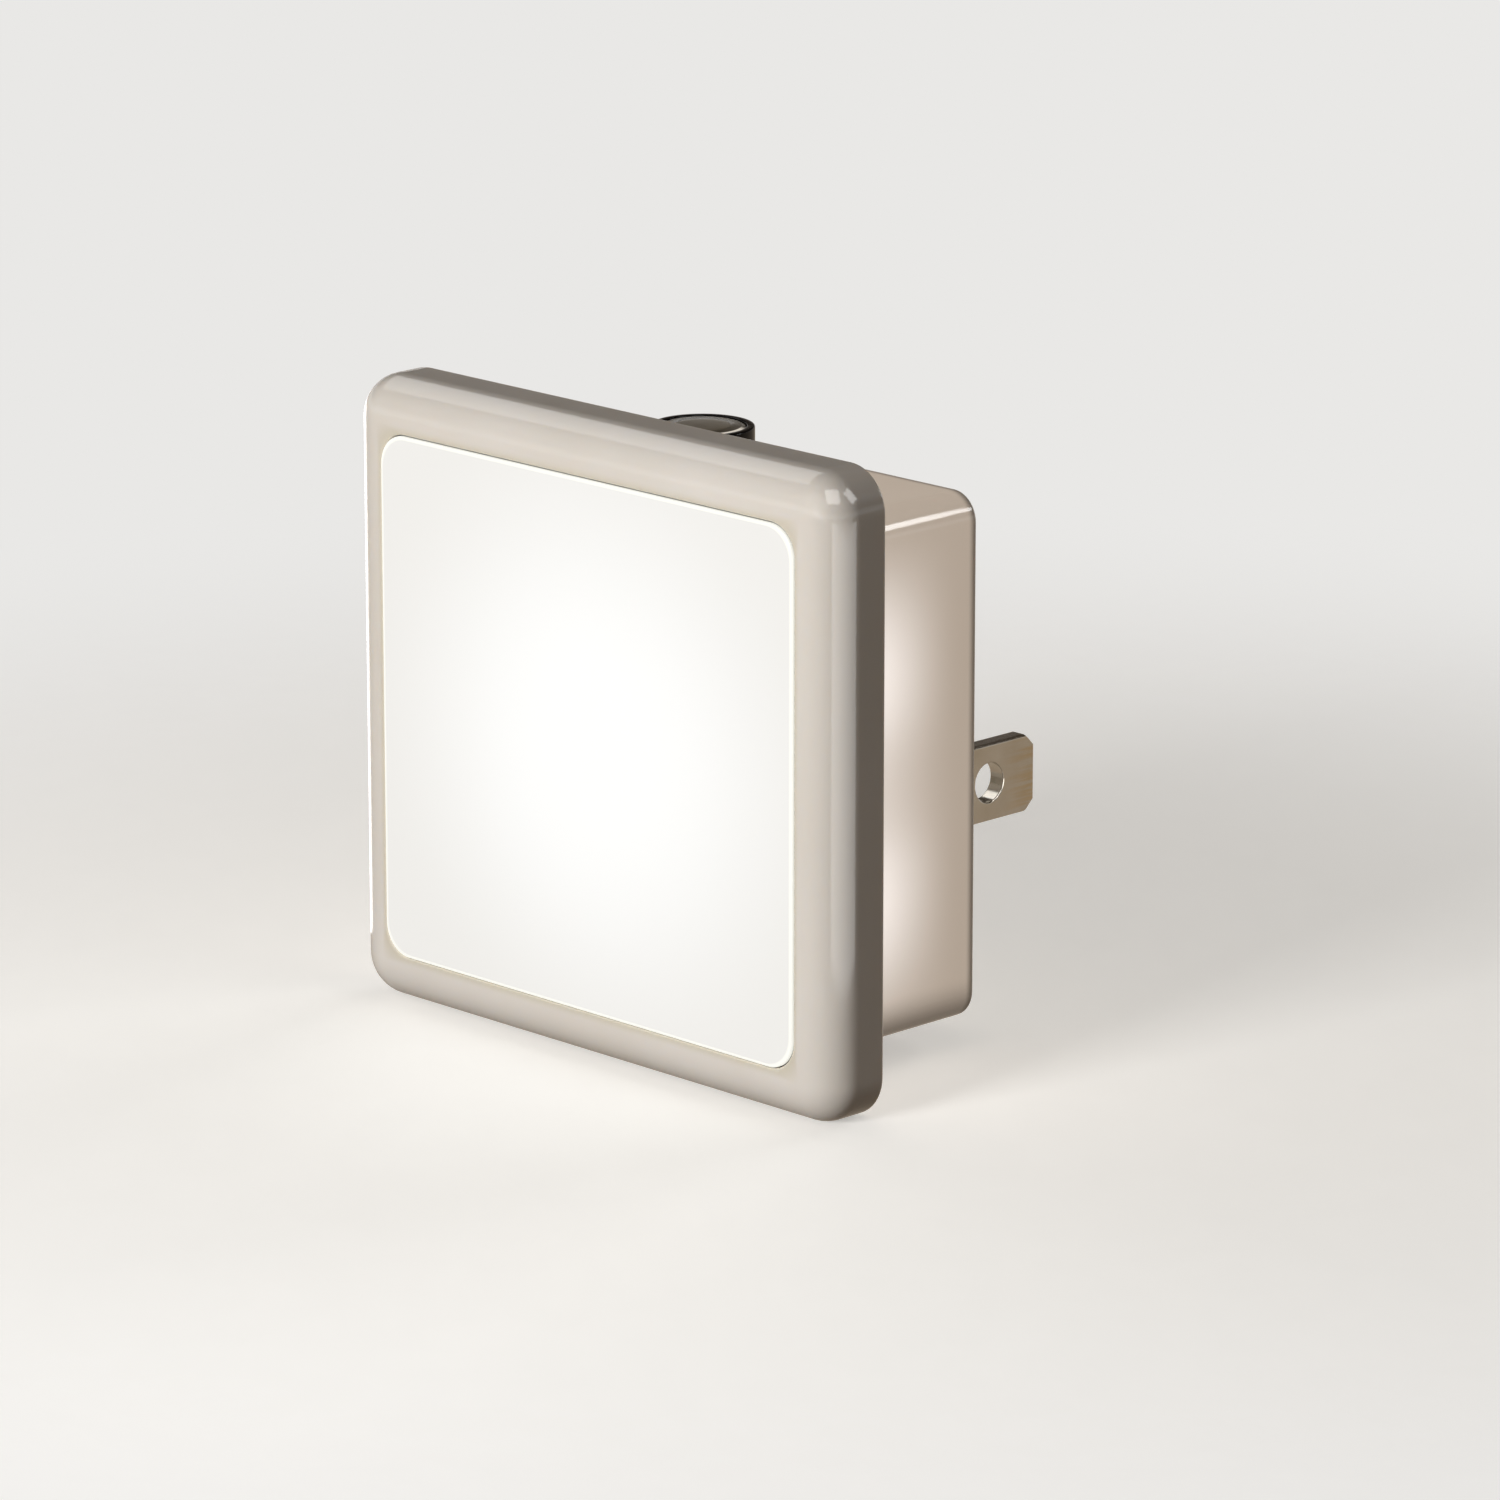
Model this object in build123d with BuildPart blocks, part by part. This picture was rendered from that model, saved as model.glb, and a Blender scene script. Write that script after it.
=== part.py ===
from build123d import *
import os

# Plug-in LED night light with a dusk sensor.
#
# Frame: +X to the right as seen from the room, +Z up, +Y into the wall. The origin is on the
# outlet face, midway between the two blades. All sizes are in millimetres.
# A depth is a distance from the outlet face towards the room, so it runs along -Y, and
# Plane.XZ.offset(depth) is the plane at that depth, with its normal towards the room.

# ---------------------------------------------------------------- driving dimensions

# plug blades, two-pole polarised plug
blade_pitch = 12.7
blade_thickness = 1.52
hot_blade_width = 6.35
neutral_blade_width = 7.94
blade_reach = 17.0
blade_hole_reach = 11.7
blade_hole_radius = 1.6
blade_tip_chamfer = 1.3
blade_edge_chamfer = 0.35
blade_side_fillet = 0.25
blade_hole_fillet = 0.15
blade_shoulder = 1.3
blade_shoulder_thickness = 1.6
blade_tail_width = 3.6
blade_tail_length = 4.3
blade_gap = 0.06

# rear housing: a box against the outlet and a flange that carries the panel
body_width = 33.6
body_height = 41.9
body_bottom_z = -14.9
body_depth = 19.9
body_corner_radius = 2.3
body_wall = 1.8
back_wall = 2.0
body_back_fillet = 0.45
body_root_fillet = 0.25
flange_thickness = 1.6
label_width = 22.0
label_height = 11.0
label_recess = 0.25
label_corner_radius = 1.0
label_rise = 15.5
smallest_corner = 0.5

# front panel: bezel frame
panel_width = 53.0
panel_height = 50.2
panel_drop = 1.6
panel_depth = 5.8
panel_corner_radius = 3.5
panel_edge_radius = 3.0
panel_rear_fillet = 0.3
bezel_wall = 1.2
bezel_face = 1.2
bezel_cavity_edge_radius = 1.6
side_border = 3.85
top_border = 4.05
window_corner_radius = 2.6
snap_gap = 0.12
snap_bead_radius = 0.35
snap_bead_length = 12.0
snap_bead_clearance = 0.1

# diffuser lens
lens_gap = 0.1
lens_proud = 0.15
lens_edge_chamfer = 0.18
lens_flange_thickness = 0.8
lens_side_gap = 1.65
lens_pocket_depth = 0.7
lens_pocket_margin = 1.4

# reflector dish
reflector_wall = 0.8
reflector_rim_thickness = 0.8
reflector_rim_gap = 0.4
reflector_mouth_inset = 0.2
reflector_opening_gap = 0.5
reflector_flange_gap = 0.1
reflector_throat = 11.0
reflector_throat_corner = 2.0
reflector_waist_corner = 4.0
reflector_seat_thickness = 1.0
reflector_boss_height = 2.1
reflector_boss_radius = 2.1
rim_rib_width = 1.0

# LED board
led_board_thickness = 1.2
led_board_height = 14.0
led_board_edge = 2.2
led_board_depth = 14.9
led_width = 3.5
led_height = 2.8
led_thickness = 0.6
led_pitch = 4.6
phosphor_radius = 1.15
phosphor_thickness = 0.12

# small screws, used for both boards
screw_shank_radius = 0.95
screw_head_radius = 1.9
screw_head_height = 1.2
screw_gap = 0.05
screw_recess_length = 2.4
screw_recess_width = 0.5
screw_recess_depth = 0.6
board_screw_bite = 2.4
reflector_screw_bite = 1.3

# main board
main_board_thickness = 1.6
board_standoff = 2.7
board_edge_gap = 0.7
board_corner_radius = 1.0
boss_radius = 2.3
boss_inset_x = 2.9
boss_inset_z = 3.15
peg_radius = 0.9
peg_gap = 0.1
peg_height = 2.4
lead_radius = 0.3
lead_hole_gap = 0.1
lead_tail = 1.2
retainer_margin_x = 1.5
retainer_margin_z = 1.0
solder_margin = 0.5
solder_height = 0.8
solder_taper = 25
solder_gap = 0.02

# dusk sensor on top of the body
sensor_depth = 13.0
sensor_rise = 4.7
collar_radius = 4.04
collar_wall = 0.62
collar_gap = 0.05
collar_flange_radius = 5.2
collar_flange_thickness = 1.0
collar_seat_width = 0.45
collar_edge_fillet = 0.2
window_recess = 0.12
sensor_window_thickness = 1.0
sensor_window_gap = 0.04
cell_radius = 2.55
cell_flat = 2.15
cell_thickness = 2.0
cell_gap = 0.5
cell_lead_pitch = 3.4
cell_lead_bend = 1.5
cell_lead_drop = 2.55

# driver components on the main board
film_length = 13.0
film_width = 5.0
film_height = 11.0
film_lead_pitch = 10.0
film_rise = 3.85
film_corner_radius = 0.7
can_radius = 3.15
can_length = 11.0
can_lead_pitch = 2.5
can_edge_gap = 0.25
can_base_z = 4.0
can_groove_radius = 0.3
can_groove_rise = 1.8
can_edge_fillet = 0.5
can_seal_wall = 0.45
can_seal_depth = 1.2
can_lead_bend = 1.0
bridge_length = 4.7
bridge_width = 3.9
bridge_height = 2.3
bridge_draft = 5
bridge_z = 11.0
bridge_lead_pitch = 2.54
bridge_lead_width = 0.7
bridge_lead_reach = 1.15
bridge_lead_thickness = 0.25
bridge_lead_under = 0.8
axial_lift = 0.4
axial_lead_bend = 0.8
axial_end_fillet = 0.35
fuse_radius = 1.4
fuse_length = 7.5
fuse_pitch = 10.4
fuse_edge_gap = 1.4
fuse_centre_z = 7.4
bleed_radius = 0.95
bleed_length = 3.5
bleed_pitch = 6.0
bleed_gap = 0.95
bleed_retainer_gap = 0.3
zener_radius = 0.95
zener_length = 4.0
zener_pitch = 6.8
zener_x = 5.0
transistor_radius = 2.3
transistor_flat = 1.4
transistor_height = 4.6
transistor_lift = 2.6
transistor_pin_pitch = 1.27
transistor_lead_pitch = 2.54
transistor_lead_straight = 0.5
transistor_lead_spread = 1.5
transistor_lead_bend = 0.5
transistor_x = -4.6
component_row_gap = 2.0

# wires between the boards
wire_radius = 0.6
wire_x = 3.0
wire_led_inset = 2.0
wire_shift = 2.0
wire_straight = 2.3
wire_bend = 4.0

# ---------------------------------------------------------------- derived places

body_centre_z = body_bottom_z + body_height / 2
panel_centre_z = body_bottom_z - panel_drop + panel_height / 2
front_depth = body_depth + panel_depth
ledge_depth = front_depth - bezel_face
reflector_front = ledge_depth - lens_flange_thickness
reflector_rim_back = reflector_front - reflector_rim_thickness
flange_front = body_depth + flange_thickness

window_width = panel_width - 2 * side_border
window_height = panel_height - 2 * top_border
bezel_inner_width = panel_width - 2 * bezel_wall
bezel_inner_height = panel_height - 2 * bezel_wall
bezel_inner_corner = max(panel_corner_radius - bezel_wall, smallest_corner)
edge_radius = min(panel_edge_radius, panel_corner_radius - panel_rear_fillet, panel_depth - bezel_face)

cavity_width = body_width - 2 * body_wall
cavity_height = body_height - 2 * body_wall
cavity_corner = max(body_corner_radius - body_wall, smallest_corner)
cavity_top = body_centre_z + cavity_height / 2
cavity_bottom = body_centre_z - cavity_height / 2
body_top = cavity_top + body_wall

board_back = back_wall + board_standoff
board_front = board_back + main_board_thickness
board_width = cavity_width - 2 * board_edge_gap
board_height = cavity_height - 2 * board_edge_gap
board_top = body_centre_z + board_height / 2
board_bottom = body_centre_z - board_height / 2
boss_x = board_width / 2 - boss_inset_x
boss_top_z = board_top - boss_inset_z
boss_bottom_z = board_bottom + boss_inset_z
screw_spots = [(-boss_x, boss_top_z), (boss_x, boss_bottom_z)]
peg_spots = [(boss_x, boss_top_z), (-boss_x, boss_bottom_z)]
screw_hole_radius = screw_shank_radius + screw_gap

led_board_front = led_board_depth + led_board_thickness
throat_half = reflector_throat / 2
waist_depth = flange_front + reflector_wall + reflector_flange_gap
waist_half_width = cavity_width / 2 - reflector_opening_gap - reflector_wall
waist_half_height = (
    min(cavity_top - panel_centre_z, panel_centre_z - cavity_bottom)
    - reflector_opening_gap
    - reflector_wall
)
boss_tip_depth = led_board_front + reflector_seat_thickness + reflector_boss_height


def dish_half_width(depth):
    """Half width of the reflector's inner face between its throat and its waist."""
    share = (depth - led_board_front) / (waist_depth - led_board_front)
    return throat_half + share * (waist_half_width - throat_half)


led_screw_x = dish_half_width(boss_tip_depth) + reflector_wall + screw_hole_radius
led_board_width = 2 * (led_screw_x + led_board_edge)
led_screw_spots = [(-led_screw_x, panel_centre_z), (led_screw_x, panel_centre_z)]

collar_top = body_top + sensor_rise
collar_bottom = cavity_top - collar_flange_thickness
collar_bore = collar_radius - collar_wall
sensor_window_top = collar_top - window_recess
sensor_window_bottom = sensor_window_top - sensor_window_thickness
cell_top = sensor_window_bottom - cell_gap
cell_bottom = cell_top - cell_thickness
cell_lead_z = board_top - cell_lead_drop

film_z = board_bottom + film_rise
can_x = -(board_width / 2 - can_edge_gap - can_radius)
can_depth = board_front + can_radius
fuse_x = board_width / 2 - fuse_edge_gap - fuse_radius
bleed_x = fuse_x - fuse_radius - bleed_gap - bleed_radius
retainer_half_height = neutral_blade_width / 2 + blade_shoulder + retainer_margin_z
bleed_base_z = retainer_half_height + bleed_retainer_gap + solder_margin + lead_radius
bleed_centre_z = bleed_base_z + bleed_pitch / 2
component_row_z = bleed_base_z + bleed_pitch + component_row_gap

cell_lead_spots = [(-cell_lead_pitch / 2, cell_lead_z), (cell_lead_pitch / 2, cell_lead_z)]
film_lead_spots = [(-film_lead_pitch / 2, film_z), (film_lead_pitch / 2, film_z)]
can_lead_z = can_base_z - can_lead_bend - lead_radius
can_lead_spots = [
    (can_x - can_lead_pitch / 2, can_lead_z),
    (can_x + can_lead_pitch / 2, can_lead_z),
]
fuse_lead_spots = [
    (fuse_x, fuse_centre_z - fuse_pitch / 2),
    (fuse_x, fuse_centre_z + fuse_pitch / 2),
]
bleed_lead_spots = [
    (bleed_x, bleed_centre_z - bleed_pitch / 2),
    (bleed_x, bleed_centre_z + bleed_pitch / 2),
]
zener_lead_spots = [
    (zener_x - zener_pitch / 2, component_row_z),
    (zener_x + zener_pitch / 2, component_row_z),
]
transistor_lead_spots = [
    (transistor_x + step * transistor_lead_pitch, component_row_z) for step in (-1, 0, 1)
]
lead_spots = (
    cell_lead_spots
    + film_lead_spots
    + can_lead_spots
    + fuse_lead_spots
    + bleed_lead_spots
    + zener_lead_spots
    + transistor_lead_spots
)

# ---------------------------------------------------------------- helpers


def at_depth(depth):
    """The plane parallel to the wall at a depth, facing the room."""
    return Plane.XZ.offset(depth)


def save(piece, name):
    """Labels a finished piece and writes it as parts/name.step."""
    piece.part.label = name
    export_step(piece.part, f"parts/{name}.step")


os.makedirs("parts", exist_ok=True)

# ---------------------------------------------------------------- front panel

# space inside the bezel, open to the back, with softened front corners
with BuildPart() as bezel_cavity:
    with BuildSketch(at_depth(body_depth)):
        with Locations((0, panel_centre_z)):
            RectangleRounded(bezel_inner_width, bezel_inner_height, bezel_inner_corner)
    extrude(amount=panel_depth - bezel_face)
    fillet(bezel_cavity.faces().sort_by(Axis.Y)[0].edges(), radius=bezel_cavity_edge_radius)

snap_depth = body_depth + flange_thickness / 2
snap_places_x = [(0, -snap_depth, panel_centre_z + side * bezel_inner_height / 2) for side in (-1, 1)]
snap_places_z = [(side * bezel_inner_width / 2, -snap_depth, panel_centre_z) for side in (-1, 1)]

with BuildPart() as front_bezel:
    with BuildSketch(at_depth(body_depth)):
        with Locations((0, panel_centre_z)):
            RectangleRounded(panel_width, panel_height, panel_corner_radius)
    extrude(amount=panel_depth)
    fillet(front_bezel.faces().sort_by(Axis.Y)[0].edges(), radius=edge_radius)
    fillet(front_bezel.faces().sort_by(Axis.Y)[-1].edges(), radius=panel_rear_fillet)
    add(bezel_cavity.part, mode=Mode.SUBTRACT)
    with BuildSketch(at_depth(ledge_depth)):
        with Locations((0, panel_centre_z)):
            RectangleRounded(window_width, window_height, window_corner_radius)
    extrude(amount=bezel_face, mode=Mode.SUBTRACT)
    with Locations(*snap_places_x):
        Cylinder(snap_bead_radius, snap_bead_length, rotation=(0, 90, 0))
    with Locations(*snap_places_z):
        Cylinder(snap_bead_radius, snap_bead_length)

with BuildPart() as diffuser_lens:
    with BuildSketch(at_depth(reflector_front)):
        with Locations((0, panel_centre_z)):
            RectangleRounded(
                bezel_inner_width - 2 * lens_side_gap,
                bezel_inner_height - 2 * lens_side_gap,
                window_corner_radius,
            )
    extrude(amount=lens_flange_thickness)
    with BuildSketch(at_depth(ledge_depth)):
        with Locations((0, panel_centre_z)):
            RectangleRounded(
                window_width - 2 * lens_gap,
                window_height - 2 * lens_gap,
                window_corner_radius - lens_gap,
            )
    extrude(amount=bezel_face + lens_proud)
    chamfer(diffuser_lens.faces().sort_by(Axis.Y)[0].edges(), length=lens_edge_chamfer)
    with BuildSketch(at_depth(reflector_front)):
        with Locations((0, panel_centre_z)):
            RectangleRounded(
                window_width - 2 * lens_pocket_margin,
                window_height - 2 * lens_pocket_margin,
                window_corner_radius,
            )
    extrude(amount=lens_pocket_depth, mode=Mode.SUBTRACT)

# ---------------------------------------------------------------- reflector and LED board


def dish_section(depth, half_width, half_height, corner):
    """One rounded rectangle of the reflector dish, centred on the window."""
    with BuildSketch(at_depth(depth)) as section:
        with Locations((0, panel_centre_z)):
            RectangleRounded(2 * half_width, 2 * half_height, corner)
    return section.sketch


mouth_half_width = window_width / 2 - reflector_mouth_inset
mouth_half_height = window_height / 2 - reflector_mouth_inset
outer_shell = [
    dish_section(
        reflector_rim_back,
        mouth_half_width + reflector_wall,
        mouth_half_height + reflector_wall,
        window_corner_radius + reflector_wall,
    ),
    dish_section(
        waist_depth - reflector_wall,
        waist_half_width + reflector_wall,
        waist_half_height + reflector_wall,
        reflector_waist_corner + reflector_wall,
    ),
    dish_section(
        led_board_front,
        throat_half + reflector_wall,
        throat_half + reflector_wall,
        reflector_throat_corner + reflector_wall,
    ),
]
inner_shell = [
    dish_section(reflector_front, mouth_half_width, mouth_half_height, window_corner_radius),
    dish_section(waist_depth, waist_half_width, waist_half_height, reflector_waist_corner),
    dish_section(led_board_front, throat_half, throat_half, reflector_throat_corner),
]

with BuildPart() as reflector:
    with BuildSketch(at_depth(reflector_rim_back)):
        with Locations((0, panel_centre_z)):
            RectangleRounded(
                bezel_inner_width - 2 * reflector_rim_gap,
                bezel_inner_height - 2 * reflector_rim_gap,
                bezel_inner_corner,
            )
    extrude(amount=reflector_rim_thickness)
    loft(sections=outer_shell, ruled=True)
    with BuildSketch(at_depth(led_board_front)):
        with Locations((0, panel_centre_z)):
            RectangleRounded(led_board_width, led_board_height, board_corner_radius)
    extrude(amount=reflector_seat_thickness)
    with BuildSketch(at_depth(led_board_front)):
        with Locations(*led_screw_spots):
            Circle(reflector_boss_radius)
    extrude(amount=reflector_seat_thickness + reflector_boss_height)
    loft(sections=inner_shell, ruled=True, mode=Mode.SUBTRACT)
    with BuildSketch(at_depth(led_board_front)):
        with Locations(*led_screw_spots):
            Circle(screw_hole_radius)
    extrude(amount=reflector_seat_thickness + reflector_screw_bite, mode=Mode.SUBTRACT)

with BuildPart() as led_board:
    with BuildSketch(at_depth(led_board_depth)):
        with Locations((0, panel_centre_z)):
            RectangleRounded(led_board_width, led_board_height, board_corner_radius)
        with Locations(*led_screw_spots):
            Circle(screw_hole_radius, mode=Mode.SUBTRACT)
    extrude(amount=led_board_thickness)

with BuildPart() as led_packages:
    with BuildSketch(at_depth(led_board_front)):
        with Locations((0, panel_centre_z)):
            with GridLocations(led_pitch, led_pitch, 2, 2):
                Rectangle(led_width, led_height)
    extrude(amount=led_thickness)

with BuildPart() as led_phosphors:
    with BuildSketch(at_depth(led_board_front + led_thickness)):
        with Locations((0, panel_centre_z)):
            with GridLocations(led_pitch, led_pitch, 2, 2):
                Circle(phosphor_radius)
    extrude(amount=phosphor_thickness)


def screws(name, head_depth, bite, spots, way):
    """Pan head screws with their heads on a board's face at head_depth.

    The shanks run into the board and what lies behind it: way is 1 towards the room, -1 towards
    the wall.
    """
    with BuildPart() as made:
        with BuildSketch(at_depth(head_depth)):
            with Locations(*spots):
                Circle(screw_head_radius)
        extrude(amount=-way * screw_head_height)
        with BuildSketch(at_depth(head_depth)):
            with Locations(*spots):
                Circle(screw_shank_radius)
        extrude(amount=way * bite)
        with BuildSketch(at_depth(head_depth - way * screw_head_height)):
            with Locations(*spots):
                Rectangle(screw_recess_length, screw_recess_width)
                Rectangle(screw_recess_width, screw_recess_length)
        extrude(amount=way * screw_recess_depth, mode=Mode.SUBTRACT)
    save(made, name)


save(front_bezel, "front_bezel")
save(diffuser_lens, "diffuser_lens")
save(reflector, "reflector")
save(led_board, "led_board")
save(led_packages, "led_packages")
save(led_phosphors, "led_phosphors")
screws(
    "led_board_screws",
    led_board_depth,
    led_board_thickness + reflector_seat_thickness + reflector_screw_bite,
    led_screw_spots,
    1,
)

# ---------------------------------------------------------------- rear housing

flange_width = bezel_inner_width - 2 * snap_gap
flange_height = bezel_inner_height - 2 * snap_gap
blade_places = [(-blade_pitch / 2, neutral_blade_width), (blade_pitch / 2, hot_blade_width)]
slot_thickness = blade_thickness + 2 * blade_gap

with BuildPart() as rear_housing:
    with BuildSketch(at_depth(0)):
        with Locations((0, body_centre_z)):
            RectangleRounded(body_width, body_height, body_corner_radius)
    extrude(amount=body_depth)
    fillet(rear_housing.faces().sort_by(Axis.Y)[-1].edges(), radius=body_back_fillet)
    with BuildSketch(at_depth(body_depth)):
        with Locations((0, panel_centre_z)):
            RectangleRounded(flange_width, flange_height, bezel_inner_corner)
    extrude(amount=flange_thickness)
    flange_back = rear_housing.faces().filter_by(Axis.Y).sort_by(Axis.Y)[-2]
    fillet(flange_back.inner_wires()[0].edges(), radius=body_root_fillet)
    # rib that carries the reflector's rim
    with BuildSketch(at_depth(flange_front)):
        with Locations((0, panel_centre_z)):
            RectangleRounded(flange_width, flange_height, bezel_inner_corner)
            Rectangle(
                flange_width - 2 * rim_rib_width,
                flange_height - 2 * rim_rib_width,
                mode=Mode.SUBTRACT,
            )
    extrude(amount=reflector_rim_back - flange_front)
    # inside of the box, open to the front
    with BuildSketch(at_depth(back_wall)):
        with Locations((0, body_centre_z)):
            RectangleRounded(cavity_width, cavity_height, cavity_corner)
    extrude(amount=flange_front - back_wall, mode=Mode.SUBTRACT)
    # bosses and pegs of the main board
    with BuildSketch(at_depth(back_wall)):
        with Locations(*screw_spots, *peg_spots):
            Circle(boss_radius)
    extrude(amount=board_standoff)
    with BuildSketch(at_depth(board_back)):
        with Locations(*peg_spots):
            Circle(peg_radius)
    extrude(amount=peg_height)
    with BuildSketch(at_depth(board_back)):
        with Locations(*screw_spots):
            Circle(screw_hole_radius)
    extrude(amount=-board_screw_bite, mode=Mode.SUBTRACT)
    # slots of the blades
    for blade_x, blade_width in blade_places:
        with BuildSketch(at_depth(0)):
            with Locations((blade_x, 0)):
                Rectangle(slot_thickness, blade_width + 2 * blade_gap)
        extrude(amount=back_wall, mode=Mode.SUBTRACT)
    # shallow bare recess where a rating label would go
    with BuildSketch(at_depth(0)):
        with Locations((0, label_rise)):
            RectangleRounded(label_width, label_height, label_corner_radius)
    extrude(amount=label_recess, mode=Mode.SUBTRACT)
    # hole of the sensor collar
    with BuildSketch(Plane.XY.offset(cavity_top)):
        with Locations((0, -sensor_depth)):
            Circle(collar_radius + collar_gap)
    extrude(amount=body_wall, mode=Mode.SUBTRACT)
    # grooves for the bezel's snap beads
    with Locations(*snap_places_x):
        Cylinder(
            snap_bead_radius + snap_bead_clearance,
            snap_bead_length + 2 * snap_bead_clearance,
            rotation=(0, 90, 0),
            mode=Mode.SUBTRACT,
        )
    with Locations(*snap_places_z):
        Cylinder(
            snap_bead_radius + snap_bead_clearance,
            snap_bead_length + 2 * snap_bead_clearance,
            mode=Mode.SUBTRACT,
        )
save(rear_housing, "rear_housing")

# ---------------------------------------------------------------- blades and their retainer

tail_end_depth = back_wall + blade_shoulder_thickness + blade_tail_length


def blade(name, x, width):
    """A flat blade with shoulders that bear on the back wall and a tail that is soldered."""
    with BuildPart() as made:
        with BuildSketch(Plane.YZ.offset(x - blade_thickness / 2)):
            with Locations((blade_reach, 0)):
                Rectangle(blade_reach + back_wall, width, align=(Align.MAX, Align.CENTER))
            with Locations((-back_wall, 0)):
                Rectangle(
                    blade_shoulder_thickness,
                    width + 2 * blade_shoulder,
                    align=(Align.MAX, Align.CENTER),
                )
            with Locations((-back_wall, 0)):
                Rectangle(
                    tail_end_depth - back_wall,
                    blade_tail_width,
                    align=(Align.MAX, Align.CENTER),
                )
            with Locations((blade_hole_reach, 0)):
                Circle(blade_hole_radius, mode=Mode.SUBTRACT)
        extrude(amount=blade_thickness)
        tip_corners = made.edges().filter_by(Axis.X).group_by(Axis.Y)[-1]
        chamfer(tip_corners, length=blade_tip_chamfer)
        tip_edges = made.faces().sort_by(Axis.Y)[-1].edges().filter_by(Axis.Z)
        chamfer(tip_edges, length=blade_edge_chamfer)
        hole_rims = made.edges().filter_by(GeomType.CIRCLE)
        fillet(hole_rims, radius=blade_hole_fillet)
        side_edges = made.edges().filter_by(Axis.Y).filter_by(lambda edge: edge.center().Y > 0)
        fillet(side_edges, radius=blade_side_fillet)
    save(made, name)


blade("blade_neutral", -blade_pitch / 2, neutral_blade_width)
blade("blade_hot", blade_pitch / 2, hot_blade_width)

with BuildPart() as blade_retainer:
    with BuildSketch(at_depth(back_wall)):
        Rectangle(
            blade_pitch + blade_thickness + 2 * retainer_margin_x,
            2 * retainer_half_height,
        )
    extrude(amount=board_standoff)
    for blade_x, blade_width in blade_places:
        with BuildSketch(at_depth(back_wall)):
            with Locations((blade_x, 0)):
                Rectangle(slot_thickness, blade_width + 2 * blade_shoulder + 2 * blade_gap)
        extrude(amount=blade_shoulder_thickness, mode=Mode.SUBTRACT)
        with BuildSketch(at_depth(back_wall)):
            with Locations((blade_x, 0)):
                Rectangle(slot_thickness, blade_tail_width + 2 * blade_gap)
        extrude(amount=board_standoff, mode=Mode.SUBTRACT)
save(blade_retainer, "blade_retainer")

# ---------------------------------------------------------------- main board

wire_led_z = panel_centre_z - led_board_height / 2 + wire_led_inset
wire_board_z = wire_led_z - wire_shift

with BuildPart() as main_board:
    with BuildSketch(at_depth(board_back)):
        with Locations((0, body_centre_z)):
            RectangleRounded(board_width, board_height, board_corner_radius)
        with Locations(*screw_spots):
            Circle(screw_hole_radius, mode=Mode.SUBTRACT)
        with Locations(*peg_spots):
            Circle(peg_radius + peg_gap, mode=Mode.SUBTRACT)
        with Locations(*lead_spots):
            Circle(lead_radius + lead_hole_gap, mode=Mode.SUBTRACT)
        with Locations(*[(blade_x, 0) for blade_x, _ in blade_places]):
            Rectangle(slot_thickness, blade_tail_width + 2 * blade_gap, mode=Mode.SUBTRACT)
    extrude(amount=main_board_thickness)
save(main_board, "main_board")

screws("main_board_screws", board_front, main_board_thickness + board_screw_bite, screw_spots, -1)

with BuildPart() as solder_joints:
    # leads, on the side towards the wall
    with BuildSketch(at_depth(board_back)):
        with Locations(*lead_spots):
            Circle(lead_radius + solder_margin)
    extrude(amount=-solder_height, taper=solder_taper)
    with BuildSketch(at_depth(board_back)):
        with Locations(*lead_spots):
            Circle(lead_radius + solder_gap)
    extrude(amount=-solder_height, mode=Mode.SUBTRACT)
    # blade tails and wires, on the side towards the room
    with BuildSketch(at_depth(board_front)):
        with Locations(*[(blade_x, 0) for blade_x, _ in blade_places]):
            Rectangle(blade_thickness + 2 * solder_margin, blade_tail_width + 2 * solder_margin)
        with Locations((-wire_x, wire_board_z), (wire_x, wire_board_z)):
            Circle(wire_radius + solder_margin)
    extrude(amount=solder_height, taper=solder_taper)
    with BuildSketch(at_depth(board_front)):
        with Locations(*[(blade_x, 0) for blade_x, _ in blade_places]):
            Rectangle(blade_thickness + 2 * solder_gap, blade_tail_width + 2 * solder_gap)
        with Locations((-wire_x, wire_board_z), (wire_x, wire_board_z)):
            Circle(wire_radius + solder_gap)
    extrude(amount=solder_height, mode=Mode.SUBTRACT)
save(solder_joints, "solder_joints")

# ---------------------------------------------------------------- wires between the boards


def wire(name, x):
    """An insulated wire from the main board's face to the LED board's back, with an easy bend."""
    with BuildPart() as made:
        with BuildLine(Plane.YZ.offset(x)):
            FilletPolyline(
                (-board_front, wire_board_z),
                (-board_front - wire_straight, wire_board_z),
                (-led_board_depth + wire_straight, wire_led_z),
                (-led_board_depth, wire_led_z),
                radius=wire_bend,
            )
        with BuildSketch(at_depth(board_front)):
            with Locations((x, wire_board_z)):
                Circle(wire_radius)
        sweep()
    save(made, name)


wire("led_wire_negative", -wire_x)
wire("led_wire_positive", wire_x)

with BuildPart() as led_wire_solder:
    with BuildSketch(at_depth(led_board_depth)):
        with Locations((-wire_x, wire_led_z), (wire_x, wire_led_z)):
            Circle(wire_radius + solder_margin)
    extrude(amount=-solder_height, taper=solder_taper)
    with BuildSketch(at_depth(led_board_depth)):
        with Locations((-wire_x, wire_led_z), (wire_x, wire_led_z)):
            Circle(wire_radius + solder_gap)
    extrude(amount=-solder_height, mode=Mode.SUBTRACT)
save(led_wire_solder, "led_wire_solder")

# ---------------------------------------------------------------- driver components

lead_end = board_back - lead_tail


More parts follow.
